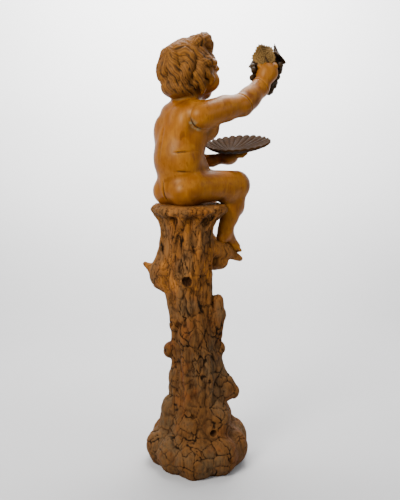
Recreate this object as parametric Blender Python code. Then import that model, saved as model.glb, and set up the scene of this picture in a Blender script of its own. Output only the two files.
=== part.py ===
"""A seated cupid of carved wood on a tree trunk pedestal.

The cupid sits on the flat top of the trunk, faces -Y, and holds up a bunch of grapes in its right
hand and a shell dish in its left. Metres, +Z up, the origin at the middle of the trunk's underside.
"""

import math

import bmesh
import bpy
import numpy as np
from mathutils import Euler, Matrix, Vector

# Driving dimensions of the trunk
TRUNK_HEIGHT = 0.86
TRUNK_RADIUS = 0.084
SEAT_RADIUS = 0.119
SEAT_THICKNESS = 0.034
BASE_RADIUS = 0.168
BASE_HEIGHT = 0.20
KNOT_HOLE_RADIUS = 0.019
KNOT_HOLE_DEPTH = 0.016

# Driving dimensions of the figure and of what it holds
FIGURE_HEIGHT = 0.52
FIGURE_X = 0.030
FIGURE_Y = 0.042
DISH_RADIUS = 0.106
DISH_DEPTH = 0.022
DISH_WALL = 0.006
GRAPE_RADIUS = 0.0098
LEAF_WALL = 0.0034

# What fits between two pieces that touch
GAP = 0.0003

# How finely the clay is pressed, and how many triangles each carved piece keeps
VOXEL = 0.0052
TRUNK_TRIANGLES = 2350
FIGURE_TRIANGLES = 3100
ARM_TRIANGLES = 640
GRAPE_TRIANGLES = 720

GOLDEN_TURN = math.pi * (3 - math.sqrt(5))


def clear_scene():
    for old in list(bpy.data.objects):
        bpy.data.objects.remove(old)


def melted(a, b, width):
    """The nearer of two distances, rounded over this width where they are alike."""
    if width <= 0:
        return np.minimum(a, b)
    share = np.clip(0.5 + 0.5 * (b - a) / width, 0, 1)
    return b + (a - b) * share - width * share * (1 - share)


class Clay:
    """Lumps that melt into each other, as a carver's clay model is built up on its armature."""

    anchor = Vector((0, 0, 0))

    def __init__(self):
        self.lumps = []

    def egg(self, centre, radii, melt=0.0, turn=(0, 0, 0), dig=False):
        """An ellipsoid, turned by these degrees about X, Y and Z. With dig it is taken away."""
        rotation = np.array(Euler([math.radians(a) for a in turn]).to_matrix())
        self.lumps.append(("egg", np.array(centre, float), np.array(radii, float), rotation, melt, dig))

    def limb(self, start, end, start_radius, end_radius, melt=0.0, dig=False):
        """A rounded cone from start to end."""
        ends = np.array([start, end], float)
        self.lumps.append(("limb", ends, start_radius, end_radius, melt, dig))

    def strand(self, path, radii, melt=0.0):
        """A chain of limbs along a path, such as a lock of hair or a finger."""
        for i in range(len(path) - 1):
            self.limb(path[i], path[i + 1], radii[i], radii[i + 1], melt)

    def lump_distance(self, lump, points):
        if lump[0] == "egg":
            _, centre, radii, rotation, _, _ = lump
            local = (points - centre) @ rotation
            near = np.linalg.norm(local / radii, axis=1)
            slope = np.linalg.norm(local / radii**2, axis=1) + 1e-9
            return near * (near - 1) / slope
        _, ends, start_radius, end_radius, _, _ = lump
        along = ends[1] - ends[0]
        offset = points - ends[0]
        share = np.clip(offset @ along / (along @ along), 0, 1)
        radius = start_radius + (end_radius - start_radius) * share
        return np.linalg.norm(offset - share[:, None] * along, axis=1) - radius

    def distance(self, points):
        """How far each point is outside the clay; below zero inside it."""
        found = np.full(len(points), 10.0)
        for lump in self.lumps:
            away = self.lump_distance(lump, points)
            melt, dig = lump[-2:]
            if dig:
                found = -melted(-found, away, melt)
            else:
                found = melted(found, away, melt)
        return found

    def rough(self):
        """A mesh of the lumps that only overlap, not yet melted."""
        shape = bmesh.new()
        for lump in self.lumps:
            if lump[-1]:
                continue
            if lump[0] == "egg":
                _, centre, radii, rotation, _, _ = lump
                place = Matrix.Translation(Vector(centre)) @ Matrix(rotation).to_4x4()
                place = place @ Matrix.Diagonal((*radii, 1))
                bmesh.ops.create_icosphere(shape, subdivisions=3, radius=1, matrix=place)
                continue
            _, ends, start_radius, end_radius, _, _ = lump
            for end, radius in zip(ends, (start_radius, end_radius)):
                place = Matrix.Translation(Vector(end))
                bmesh.ops.create_icosphere(shape, subdivisions=2, radius=radius, matrix=place)
            along = Vector(ends[1] - ends[0])
            turn = along.to_track_quat("Z", "Y").to_matrix().to_4x4()
            place = Matrix.Translation(Vector(ends.mean(axis=0))) @ turn
            bmesh.ops.create_cone(
                shape,
                cap_ends=True,
                segments=16,
                radius1=start_radius,
                radius2=end_radius,
                depth=along.length,
                matrix=place,
            )
        return shape


def mesh_object(name, shape):
    """A scene object that holds this bmesh."""
    mesh = bpy.data.meshes.new(name)
    shape.to_mesh(mesh)
    shape.free()
    piece = bpy.data.objects.new(name, mesh)
    bpy.context.scene.collection.objects.link(piece)
    return piece


def evaluated_mesh(piece):
    graph = bpy.context.evaluated_depsgraph_get()
    return bpy.data.meshes.new_from_object(piece.evaluated_get(graph))


def modelled(name, clay, voxel=VOXEL, steps=5):
    """The clay as one closed skin: its rough mesh is fused, then each vertex is pressed onto the clay.

    Where the clay is dug away the vertices first sink straight in.
    """
    piece = mesh_object(name, clay.rough())
    piece.data.transform(Matrix.Translation(-clay.anchor))
    fuse = piece.modifiers.new("fuse", "REMESH")
    fuse.mode = "VOXEL"
    fuse.voxel_size = voxel
    skin = evaluated_mesh(piece)
    skin.transform(Matrix.Translation(clay.anchor))
    piece.modifiers.clear()
    piece.data = skin

    points = np.empty(len(skin.vertices) * 3)
    skin.vertices.foreach_get("co", points)
    points = points.reshape(-1, 3)
    edges = np.empty(len(skin.edges) * 2, int)
    skin.edges.foreach_get("vertices", edges)
    edges = edges.reshape(-1, 2)
    links = np.bincount(edges.ravel(), minlength=len(points))[:, None]
    normals = np.empty(len(skin.vertices) * 3)
    skin.vertex_normals.foreach_get("vector", normals)
    normals = normals.reshape(-1, 3)
    sinks = 12 if any(lump[-1] for lump in clay.lumps) else 0
    for _ in range(sinks):
        proud = clay.distance(points)
        proud[proud < 0.4 * voxel] = 0
        points -= np.minimum(proud, voxel)[:, None] * normals
    reach = voxel * 0.05
    for step in range(steps):
        if step < steps - 2:
            points += 0.5 * (neighbour_mean(points, edges, links) - points)
        here = clay.distance(points)
        slope = np.stack(
            [clay.distance(points + reach * axis) - here for axis in np.eye(3)], axis=1
        ) / reach
        steep = np.maximum((slope**2).sum(axis=1), 0.2)
        move = np.clip(here / steep, -2 * voxel, 2 * voxel)
        points -= move[:, None] * slope
    skin.vertices.foreach_set("co", points.astype(np.float32).ravel())
    skin.update()
    return piece


def neighbour_mean(points, edges, links):
    total = np.zeros_like(points)
    for axis in range(3):
        total[:, axis] = np.bincount(
            edges.ravel(), weights=points[edges[:, ::-1], axis].ravel(), minlength=len(points)
        )
    return total / links


def thinned(piece, triangles, fine_above=None):
    """Keeps about this many triangles, most of them where the form turns and above a height."""
    count = sum(len(face.vertices) - 2 for face in piece.data.polygons)
    thin = piece.modifiers.new("thin", "DECIMATE")
    thin.ratio = min(1.0, triangles / count)
    if fine_above is not None:
        free = piece.vertex_groups.new(name="free_to_thin")
        high = [v.index for v in piece.data.vertices if v.co.z > fine_above]
        free.add(range(len(piece.data.vertices)), 1.0, "REPLACE")
        free.add(high, 0.3, "REPLACE")
        thin.vertex_group = free.name
        thin.vertex_group_factor = 0.0005
    return piece


def cut_by(piece, cutter, name):
    take = piece.modifiers.new(name, "BOOLEAN")
    take.operation = "DIFFERENCE"
    take.object = cutter
    return take


def as_cutter(piece):
    piece.hide_render = True
    piece.display_type = "WIRE"
    return piece


def block_cutter(name, low, high):
    shape = bmesh.new()
    middle = (Vector(low) + Vector(high)) / 2
    size = Vector(high) - Vector(low)
    place = Matrix.Translation(middle) @ Matrix.Diagonal((*size, 1))
    bmesh.ops.create_cube(shape, size=1, matrix=place)
    return as_cutter(mesh_object(name, shape))


def clearance_of(piece, room=3 * GAP):
    """The piece grown by some room all round, to cut its neighbours with."""
    grown = bpy.data.objects.new(piece.name + "_clearance", evaluated_mesh(piece))
    bpy.context.scene.collection.objects.link(grown)
    grow = grown.modifiers.new("grow", "DISPLACE")
    grow.mid_level = 0
    grow.strength = room
    return as_cutter(grown)


def smooth_clearance_of(piece, room):
    """A clearance with no folds in it, for a piece with narrow places such as fingers."""
    grown = clearance_of(piece, room)
    grown.data.transform(Matrix.Translation(-SEAT_POINT))
    grown.location = SEAT_POINT
    close = grown.modifiers.new("close", "REMESH")
    close.mode = "VOXEL"
    close.voxel_size = 0.0042
    fewer = grown.modifiers.new("fewer", "DECIMATE")
    fewer.ratio = 0.2
    return grown


def finish(piece, colour, roughness, metallic=0.0):
    material = bpy.data.materials.new(piece.name + "_finish")
    material.use_nodes = True
    shader = material.node_tree.nodes["Principled BSDF"]
    shader.inputs["Base Color"].default_value = (*colour, 1)
    shader.inputs["Roughness"].default_value = roughness
    shader.inputs["Metallic"].default_value = metallic
    piece.data.materials.clear()
    piece.data.materials.append(material)
    piece.data.shade_smooth()
    piece.data.set_sharp_from_angle(angle=math.radians(40))
    return piece


# The trunk. A place on it is given by its height and by its compass angle about the leaning axis:
# 0 degrees is -Y, the front, and 90 degrees is -X, the cupid's right.

LEAN_X = 0.0225
LEAN_Y = 0.0268


def trunk_axis(height):
    """The middle of the trunk at this height: upright at the foot, leaning under the seat."""
    share = np.clip((height / TRUNK_HEIGHT - 0.35) / 0.40, 0, 1)
    lean = share * share * (3 - 2 * share)
    return Vector((LEAN_X * lean, LEAN_Y * lean, height))


def compass(angle):
    turn = math.radians(angle)
    return Vector((-math.sin(turn), -math.cos(turn), 0))


def on_trunk(angle, height, out):
    """A place beside the trunk's axis, this far out."""
    return trunk_axis(height) + compass(angle) * out


def trunk_clay():
    clay = Clay()
    column(clay)
    base_mound(clay)
    seat_flare(clay)
    burls_and_stubs(clay)
    foot_ledge(clay)
    knot_holes(clay)
    return clay


COLUMN = (
    (0.10, 1.20), (0.24, 1.06), (0.30, 0.99), (0.36, 0.97), (0.40, 0.91), (0.48, 0.87), (0.53, 0.81),
    (0.59, 0.79), (0.65, 0.82), (0.70, 0.89), (0.75, 0.93), (0.80, 0.96), (0.88, 0.95), (0.95, 0.97),
)


def column(clay):
    """The bole, thick under the seat and above the base and slimmer between, with upright ridges."""
    places = [trunk_axis(share * TRUNK_HEIGHT) for share, _ in COLUMN]
    radii = [0.95 * swell * TRUNK_RADIUS for _, swell in COLUMN]
    clay.strand(places, radii, melt=0.004)
    for i in range(11):
        angle = i * 360 / 11 + 9 * math.sin(2.4 * i)
        low, high = 0.24 + 0.05 * math.sin(3.1 * i), 0.94
        ridge = []
        for k in range(8):
            share = low + (high - low) * k / 7
            swell = np.interp(share, [s for s, _ in COLUMN], [r for _, r in COLUMN])
            out = 0.89 * swell * TRUNK_RADIUS
            ridge.append(on_trunk(angle + 6 * math.sin(1.3 * k + i), share * TRUNK_HEIGHT, out))
        clay.strand(ridge, [0.155 * TRUNK_RADIUS] * 8, melt=0.006)


def base_mound(clay):
    """The spreading foot: a ring of root lumps round a low cone."""
    foot, top = (0, 0, 0.16 * BASE_HEIGHT), (0, 0, BASE_HEIGHT)
    clay.limb(foot, top, 0.80 * BASE_RADIUS, 0.46 * BASE_RADIUS, melt=0.02)
    for i in range(9):
        angle = i * 40 + 14
        size = 1 + 0.10 * math.sin(2.1 * i + 2.1)
        radii = (0.36 * BASE_RADIUS * size, 0.36 * BASE_RADIUS * size, 0.34 * BASE_HEIGHT * size)
        clay.egg(on_trunk(angle, 0.27 * BASE_HEIGHT, 0.67 * BASE_RADIUS), radii, melt=0.022)
    for i in range(5):
        angle = i * 72 + 8
        high = BASE_HEIGHT * (0.70 + 0.10 * math.sin(1.9 * i))
        clay.egg(on_trunk(angle, high, 0.48 * BASE_RADIUS), (0.046, 0.046, 0.056), melt=0.024)


def seat_flare(clay):
    """The top opens out like a cut stump: a thick round rim over a short flare."""
    middle = trunk_axis(TRUNK_HEIGHT) + compass(40) * 0.0055
    rim = middle - Vector((0, 0, 0.45 * SEAT_THICKNESS))
    clay.egg(rim, (SEAT_RADIUS, SEAT_RADIUS, 0.85 * SEAT_THICKNESS), melt=0.014)
    for i in range(11):
        angle = i * 360 / 11 + 10
        size = 1 + 0.12 * math.sin(2.7 * i)
        foot = on_trunk(angle + 6, TRUNK_HEIGHT - 0.085, 0.80 * TRUNK_RADIUS)
        lip = middle + compass(angle) * (SEAT_RADIUS - 0.018 * size) - Vector((0, 0, 0.35 * SEAT_THICKNESS))
        clay.limb(foot, lip, 0.008, 0.016 * size, melt=0.010)


def burls_and_stubs(clay):
    """Branch collars, the sawn stub with its upright end, the snag and the side knots."""
    # the broad collar and its snag on the back left
    clay.egg(on_trunk(222, 0.634, 0.072), (0.049, 0.049, 0.056), melt=0.022)
    clay.egg(on_trunk(223, 0.624, 0.092), (0.026, 0.026, 0.034), melt=0.012)
    clay.limb(on_trunk(226, 0.632, 0.085), on_trunk(228, 0.664, 0.138), 0.027, 0.008, melt=0.014)
    # the smooth rib above it, where the bark is gone
    bare = [on_trunk(224, 0.80, 0.062), on_trunk(224, 0.735, 0.068), on_trunk(222, 0.665, 0.084)]
    clay.strand(bare, (0.016, 0.018, 0.026), melt=0.010)
    # the upright sawn stub on the front right
    clay.limb(on_trunk(40, 0.43, 0.058), on_trunk(40, 0.500, 0.088), 0.030, 0.026, melt=0.014)
    clay.limb(on_trunk(40, 0.500, 0.088), on_trunk(40, 0.549, 0.092), 0.024, 0.019, melt=0.008)
    # the two side knots
    clay.egg(on_trunk(222, 0.379, 0.085), (0.024, 0.024, 0.026), melt=0.010)
    clay.egg(on_trunk(42, 0.384, 0.070), (0.023, 0.023, 0.026), melt=0.012)
    clay.egg(on_trunk(222, 0.275, 0.062), (0.034, 0.034, 0.075), melt=0.020)
    clay.egg(on_trunk(218, 0.180, 0.088), (0.036, 0.036, 0.044), melt=0.020)
    clay.limb(on_trunk(40, 0.330, 0.046), on_trunk(42, 0.262, 0.086), 0.030, 0.034, melt=0.016)
    # the low sawn stub on the front right
    clay.limb(on_trunk(42, 0.235, 0.068), on_trunk(42, 0.240, 0.110), 0.040, 0.026, melt=0.014)
    # three more on the side away from these
    clay.limb(on_trunk(300, 0.45, 0.055), on_trunk(305, 0.50, 0.100), 0.028, 0.019, melt=0.014)
    clay.egg(on_trunk(335, 0.30, 0.076), (0.026, 0.026, 0.034), melt=0.012)
    clay.egg(on_trunk(160, 0.44, 0.066), (0.022, 0.022, 0.032), melt=0.012)


def foot_ledge(clay):
    """The broken branch in front that carries both feet, falling away to its tip."""
    for across, length in ((-11.0, 1.0), (10.5, 0.94)):
        root = body_place((across * 0.8, -17, -27.5))
        knee = body_place((across, -25, -30.0))
        tip = body_place((across * 0.92, -25 - 14.4 * length, -30.0 - 6.6 * length))
        clay.limb(root, knee, 0.030, 0.026, melt=0.012)
        clay.limb(knee, tip, 0.024, 0.011, melt=0.012)
    clay.egg(body_place((0, -24, -37)), (0.072, 0.040, 0.034), melt=0.016, turn=(24, 0, 0))


KNOT_HOLES = ((130, 0.625, 1.0), (104, 0.134, 0.66), (10, 0.56, 0.8), (285, 0.30, 0.9), (195, 0.475, 0.7))
BOSS_KNOT = (157, 0.105, 0.025)


def knot_holes(clay):
    """Round scars of lost branches: swollen rings with a hollow in them, and one closed boss."""
    for angle, height, size in KNOT_HOLES:
        out = surface_reach(clay, angle, height)
        radius = KNOT_HOLE_RADIUS * size
        ring = on_trunk(angle, height, out - 0.8 * radius)
        clay.egg(ring, (1.55 * radius, 1.55 * radius, 1.65 * radius), melt=0.008)
        mouth = on_trunk(angle, height, out + 3 * radius)
        bottom = on_trunk(angle, height, out + 1.5 * radius - KNOT_HOLE_DEPTH)
        clay.limb(mouth, bottom, 1.1 * radius, 0.85 * radius, melt=0.003, dig=True)
    angle, height, radius = BOSS_KNOT
    out = surface_reach(clay, angle, height)
    clay.egg(on_trunk(angle, height, out - 0.55 * radius), (radius, radius, 1.1 * radius), melt=0.003)


def surface_reach(clay, angle, height):
    """How far out the clay's surface is from the trunk's axis."""
    reaches = np.linspace(0.03, 0.25, 221)
    line = np.array([on_trunk(angle, height, out) for out in reaches])
    inside = clay.distance(line) < 0
    return float(reaches[inside].max())


# The figure. Places on it are in hundredths of its seated height, from the middle of its seat:
# x to its left, y to its back, z up.

UNIT = FIGURE_HEIGHT / 100
SEAT_POINT = Vector((FIGURE_X, FIGURE_Y, TRUNK_HEIGHT))
HEAD_CENTRE = Vector((-1.2, -6.8, 80.0))
HEAD_TURN = Euler((math.radians(3), 0, math.radians(-7)))
RIGHT_WRIST = (-19.7, -46.0, 70.3)
RIGHT_FIST = (-21.8, -50.6, 79.6)
LEFT_PALM = (1.5, -40.0, 28.2)
DISH_CENTRE = (-3.0, -43.9, 36.6)


class Figure(Clay):
    """Clay whose places and sizes are given in hundredths of the figure's height."""

    anchor = SEAT_POINT

    def egg(self, centre, radii, melt=0.0, turn=(0, 0, 0), dig=False):
        super().egg(body_place(centre), [r * UNIT for r in radii], melt * UNIT, turn, dig)

    def limb(self, start, end, start_radius, end_radius, melt=0.0, dig=False):
        ends = body_place(start), body_place(end)
        super().limb(*ends, start_radius * UNIT, end_radius * UNIT, melt * UNIT, dig)

    def head_egg(self, centre, radii, melt=0.0, turn=(0, 0, 0), dig=False):
        tilt = [math.degrees(a) for a in (turned_like_head(turn))]
        self.egg(head_place(centre), radii, melt, tilt, dig)

    def head_strand(self, path, radii, melt=0.0):
        self.strand([head_place(p) for p in path], radii, melt)


def body_place(place):
    return SEAT_POINT + Vector(place) * UNIT


def head_place(place):
    """A place given from the middle of the head, in the figure's hundredths."""
    return HEAD_CENTRE + HEAD_TURN.to_matrix() @ Vector(place)


def turned_like_head(turn):
    local = Euler([math.radians(a) for a in turn]).to_matrix()
    return (HEAD_TURN.to_matrix() @ local).to_euler()


def torso(clay):
    clay.egg((0, 0.5, 10.5), (16.4, 13.8, 11.5), melt=4)
    for side in (1, -1):
        clay.egg((7.8 * side, 3.7, 8.4), (9.2, 9.8, 9.4), melt=2)
    clay.egg((0, 2.1, 28), (15.9, 14.2, 19), melt=4)
    clay.egg((0, -6.5, 20), (13.0, 11.0, 12.5), melt=4)
    clay.egg((0, -0.4, 41), (17.2, 14.4, 15.5), melt=4)
    clay.egg((-0.5, -0.6, 53.4), (16.6, 11.2, 8.1), melt=4, turn=(0, 8, 0))
    for side in (1, -1):
        clay.egg((7.5 * side, -11.0, 45.5 - side), (8.4, 6.4, 7.6), melt=3)
        clay.egg((8.8 * side, 7.6, 46 - 2 * side), (6.6, 4.6, 9.0), melt=3)
    clay.egg((-11.8, -1.8, 53.0), (8.6, 9.0, 7.8), melt=4)
    clay.limb((0, -1.5, 57), (-0.8, -5, 69), 8.2, 7.8, melt=3)


def head(clay):
    clay.head_egg((0, 2.0, 3.0), (13.4, 15.0, 12.8), melt=3)
    clay.head_egg((0, -4.8, -4.5), (11.8, 11.2, 11.8), melt=3)
    clay.head_egg((0, -8.2, 4.5), (9.8, 7.2, 7.6), melt=3)
    for side in (1, -1):
        clay.head_egg((7.0 * side, -9.4, -6.2), (5.6, 5.6, 5.8), melt=2.5)
        clay.head_egg((5.2 * side, -13.2, 1.6), (4.2, 2.4, 1.8), melt=2)
        clay.head_egg((4.9 * side, -15.2, -1.6), (2.8, 2.0, 1.7), melt=1.2, dig=True)
        clay.head_egg((4.9 * side, -12.9, -1.7), (2.3, 2.0, 1.6), melt=0.4)
    clay.head_egg((0, -9.8, -13.4), (4.6, 3.8, 3.2), melt=2.5)
    clay.head_strand([(0, -14.4, 0.0), (0, -16.0, -4.2)], (1.2, 1.6), melt=1.4)
    clay.head_egg((0, -16.5, -4.8), (1.9, 1.9, 1.5), melt=1)
    for side in (1, -1):
        clay.head_egg((1.7 * side, -15.4, -5.2), (1.3, 1.4, 1.1), melt=0.8)
    for z, radius in ((-8.6, 0.95), (-10.1, 1.1)):
        clay.head_strand([(-2.6, -14.4, z), (0, -15.5, z), (2.6, -14.4, z)], (0.4, radius, 0.4), melt=0.7)


HAIR_CENTRE = Vector((0, 4.1, -0.4))
HAIR_RADII = Vector((14.4, 16.4, 16.6))
CROWN = Vector((0.1, 0.62, 0.78))


def on_hair(direction, lift=0.0):
    """A place on the cap of hair, or this many hundredths above it."""
    straight = Vector(direction).normalized()
    return HAIR_CENTRE + Vector([straight[i] * (HAIR_RADII[i] + lift) for i in range(3)])


def lock(clay, ways, width, lift=0.0):
    """One carved lock through these directions over the cap of hair, pointed at its end."""
    steps = 3 * (len(ways) - 1)
    path = []
    radii = []
    for i in range(steps + 1):
        share = i / steps
        span = min(int(share * (len(ways) - 1)), len(ways) - 2)
        way = Vector(ways[span]).lerp(Vector(ways[span + 1]), share * (len(ways) - 1) - span)
        path.append(on_hair(way, lift * math.sin(math.pi * share) - 0.58 * width))
        swell = 0.6 + 0.4 * math.sin(math.pi * min(1, 0.2 + share))
        radii.append(width * (swell if i < steps else 0.35))
    clay.head_strand(path, radii, melt=0.4)


def hair(clay):
    """Thick windswept hair: down to the nape all round, and forward over the brow in a high wave."""
    clay.head_egg((0, 3.4, 2.6), (12.8, 14.8, 11.6), melt=1)
    clay.head_egg((0, 7.0, -5.5), (11.8, 11.0, 10.8), melt=1.5)
    clay.head_egg((0, 8.4, -10.8), (10.6, 10.6, 7.4), melt=1.5)
    for i in range(9):
        turn = math.radians(-132 + 33 * i)
        sway = 0.16 * math.sin(2.3 * i + 1)
        out = Vector((math.sin(turn), math.cos(turn), 0))
        beside = Vector((math.cos(turn), -math.sin(turn), 0)) * sway
        drop = -0.95 if abs(turn) < 1.75 else -0.50
        middle = out * 0.9 + beside + Vector((0, 0, 0.45))
        ways = [CROWN + 0.3 * out, middle, out - beside + Vector((0, 0.05, -0.1))]
        lock(clay, ways, 4.1)
        middle = out - beside + Vector((0, 0.05, -0.35))
        ways = [out + beside + Vector((0, 0, 0.25)), middle, out * 0.8 + Vector((0, 0.1, drop))]
        lock(clay, ways, 4.0)
    for i in range(6):
        across = -0.80 + 0.32 * i
        ways = [
            CROWN + Vector((across * 0.4, -0.2, 0)),
            Vector((across * 0.9, -0.35, 1.0)),
            Vector((across * 0.85 - 0.10, -0.86, 0.66)),
        ]
        lock(clay, ways, 2.8, 1.2)
    wave = [(-9.6, 5.5, 13.0), (-8.0, 0.7, 16.1), (-6.0, -4.4, 17.4)]
    wave += [(-4.4, -8.1, 15.0), (-3.8, -9.8, 11.3)]
    clay.head_strand(wave, (2.0, 3.4, 4.0, 3.4, 1.8), melt=1)
    wave = [(0, 3.5, 15.4), (0.6, -1.6, 16.8), (1.6, -6.2, 16.4), (3.6, -9.5, 13.2), (5.0, -10.5, 9.5)]
    clay.head_strand(wave, (2.2, 3.4, 3.6, 3.0, 1.5), melt=1)
    for side in (1, -1):
        curl = [(13.2 * side, 2.0, 2.5), (13.4 * side, -3.0, 4.4)]
        curl += [(12.0 * side, -7.8, 4.0), (10.8 * side, -9.6, 1.8)]
        clay.head_strand(curl, (2.4, 2.6, 2.2, 1.0), melt=0.6)
        curl = [(13.4 * side, 2.0, -0.5), (13.2 * side, -3.0, -2.4)]
        curl += [(12.4 * side, -6.6, -5.2), (11.6 * side, -6.4, -8.0)]
        clay.head_strand(curl, (2.4, 2.4, 1.9, 1.0), melt=0.6)
        curl = [(12.8 * side, 5.0, -4.0), (12.4 * side, 1.0, -7.5)]
        curl += [(11.0 * side, -1.6, -11.0), (9.8 * side, -2.4, -13.4)]
        clay.head_strand(curl, (2.4, 2.4, 1.9, 1.0), melt=0.6)


def leg(clay, side, knee, ankle, toes):
    """One bent leg, hip to toes. knee, ankle and toes are places; side is 1 on the left."""
    hip = Vector((9.4 * side, -3, 11.0))
    knee, ankle, toes = Vector(knee), Vector(ankle), Vector(toes)
    clay.limb(hip, knee + Vector((0, 2, 0.8)), 10.4, 8.2, melt=3)
    clay.egg(knee, (7.3, 7.4, 7.8), melt=2)
    clay.limb(knee + Vector((0, 0.6, -2)), ankle, 6.6, 4.5, melt=2)
    clay.egg(knee.lerp(ankle, 0.60) + Vector((0, 0.6, 0)), (5.5, 5.9, 8.6), melt=2, turn=(-16, 0, 0))
    clay.egg(knee.lerp(ankle, 0.36) + Vector((0, -1.5, 0)), (5.3, 5.5, 8.6), melt=2, turn=(-16, 0, 0))
    heel = ankle + Vector((0, 1.9, -4.4))
    clay.egg(heel, (4.0, 4.3, 4.2), melt=2)
    ball = heel.lerp(toes, 0.66) + Vector((0, 0, 1.0))
    clay.limb(ankle + Vector((0, -1.0, -1.5)), ball, 4.3, 3.1, melt=2)
    clay.egg(ball, (5.0, 3.6, 2.9), melt=2, turn=(33, 0, 0))
    forward = (toes - ball).normalized()
    reach = (toes - ball).length
    for i in range(5):
        across = (2 - i) * 2.05 * side
        radius = 1.75 if i == 0 else 1.30 - 0.06 * i
        root = ball + Vector((across * -1.0, 0, -0.7))
        clay.limb(root, root + forward * (reach - radius - 0.75 * i), radius, radius * 0.95, melt=0.5)


def torso_arm(clay):
    """The left arm, lowered, with its open hand under the dish."""
    shoulder, elbow, wrist = (16.2, -4.0, 48.5), (19.2, -13.5, 26.6), (8.6, -32.0, 25.6)
    clay.egg((15.4, -3.4, 48.8), (7.2, 7.8, 7.8), melt=3)
    clay.limb(shoulder, elbow, 7.0, 6.0, melt=2)
    clay.limb(elbow, wrist, 5.9, 3.6, melt=2)
    clay.egg((15.8, -19.5, 26.4), (5.4, 7.0, 5.2), melt=2, turn=(0, 0, 30))
    palm = Vector(LEFT_PALM)
    clay.limb(wrist, palm, 3.8, 3.3, melt=2)
    clay.egg(palm + Vector((-0.4, -0.6, -0.7)), (5.4, 7.6, 3.5), melt=2, turn=(-8, 8, 30))
    for i in range(4):
        root = palm + Vector((-4.2 + 2.1 * i, -2.2 - 1.1 * i, 0.4))
        middle = root + Vector((-3.0 + 0.5 * i, -4.4, 0.3))
        tip = middle + Vector((-1.6 + 0.5 * i, -3.2, 1.6))
        clay.strand([root, middle, tip], (1.7, 1.5, 1.25), melt=0.5)
    thumb = [palm + Vector(way) for way in ((2.6, 1.0, 0.8), (6.8, -2.0, 2.2), (8.6, -5.0, 4.0))]
    clay.strand(thumb, (2.0, 1.6, 1.3), melt=0.6)


def figure_clay():
    clay = Figure()
    torso(clay)
    head(clay)
    hair(clay)
    leg(clay, -1, (-14.2, -33.9, 11.3), (-11.6, -25.2, -16.6), (-9.8, -39.0, -32.6))
    leg(clay, 1, (12.6, -32.0, 11.0), (12.0, -26.2, -16.8), (10.6, -41.0, -32.4))
    torso_arm(clay)
    return clay


HAND_WIDTH = Vector((-0.643, -0.766, 0))
HAND_THICKNESS = Vector((0.766, -0.643, 0))


def right_arm_clay():
    """The right arm is carved from its own block and glued on at the shoulder."""
    clay = Figure()
    shoulder, middle, elbow = (-17.2, -5.5, 53.6), (-19.2, -18.0, 57.2), (-20.8, -30.2, 59.6)
    clay.egg((-16.4, -2.2, 52.6), (8.2, 9.0, 8.0), melt=2)
    clay.strand([shoulder, middle, elbow], (8.2, 7.7, 6.5), melt=1.5)
    clay.limb(elbow, RIGHT_WRIST, 6.7, 5.3, melt=2)
    clay.egg((-20.9, -36.2, 63.7), (6.4, 7.7, 6.7), melt=2, turn=(-38, 0, 0))
    fist = Vector(RIGHT_FIST)
    clay.limb(RIGHT_WRIST, fist, 4.9, 4.2, melt=2)
    clay.egg(fist, (6.4, 4.4, 6.2), melt=2, turn=(0, 0, 50))
    for i in range(4):
        root = fist + HAND_WIDTH * (3 * i - 4.5) + HAND_THICKNESS * -0.6
        root.z += 4.4 - 0.5 * abs(i - 1.5)
        bend = root + HAND_THICKNESS * 4.6 + Vector((0, 0, 1.7))
        tip = bend + HAND_THICKNESS * 2.0 + Vector((0, 0, -4.4))
        clay.strand([root, bend, tip], (1.8, 1.6, 1.35), melt=0.4)
    thumb = fist + HAND_WIDTH * -4.8 + Vector((0, 0, -1.6))
    bend = thumb + HAND_THICKNESS * 5.4 + HAND_WIDTH * -0.6 + Vector((0, 0, 1.4))
    clay.strand([thumb, bend, bend + HAND_THICKNESS * 2.2 + HAND_WIDTH * 3.6], (2.3, 1.8, 1.5), melt=0.6)
    return clay


# The shell dish

DISH_RIBS = 26
DISH_RINGS = (0.14, 0.45, 0.75, 1.0)
RIB_HEIGHT = 0.0022
HINGE_SHIFT = 0.34


def shell_dish():
    """A shallow scallop shell: ribs fan out towards the front and end in a wavy edge."""
    shape = bmesh.new()
    disc = bmesh.ops.create_circle(shape, cap_ends=True, segments=2 * DISH_RIBS, radius=DISH_RINGS[0])
    ring = list({edge for vertex in disc["verts"] for edge in vertex.link_edges})
    for inner, outer in zip(DISH_RINGS, DISH_RINGS[1:]):
        grown = bmesh.ops.extrude_edge_only(shape, edges=ring)["geom"]
        moved = [v for v in grown if isinstance(v, bmesh.types.BMVert)]
        bmesh.ops.scale(shape, vec=(outer / inner, outer / inner, 1), verts=moved)
        ring = [e for e in grown if isinstance(e, bmesh.types.BMEdge)]
    for vertex in shape.verts:
        share = vertex.co.xy.length
        wave = math.cos(DISH_RIBS * math.atan2(vertex.co.y, vertex.co.x)) * min(1.0, 1.3 * share)
        reach = DISH_RADIUS * (1 + 0.02 * wave * (share > 0.95))
        shift = HINGE_SHIFT * DISH_RADIUS * (1 - share)
        height = DISH_DEPTH * (share**2 - 1) + RIB_HEIGHT * wave
        vertex.co = Vector((vertex.co.x * reach, vertex.co.y * reach + shift, height))
    bmesh.ops.recalc_face_normals(shape, faces=shape.faces)
    dish = mesh_object("shell_dish", shape)
    wall = dish.modifiers.new("wall", "SOLIDIFY")
    wall.thickness = DISH_WALL
    wall.offset = 0
    return dish


def place_dish(dish):
    """On the left palm, tilted down towards the cupid's back right."""
    dish.location = body_place(DISH_CENTRE)
    dish.rotation_euler = (math.radians(-10.7), math.radians(-7.2), math.radians(-4))


# The grapes and vine leaves

BUNCH_TOP = Vector((-15.7, -57.6, 86.0))
BUNCH_FOOT = Vector((-16.6, -56.8, 68.4))
GRAPES = 44


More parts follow.
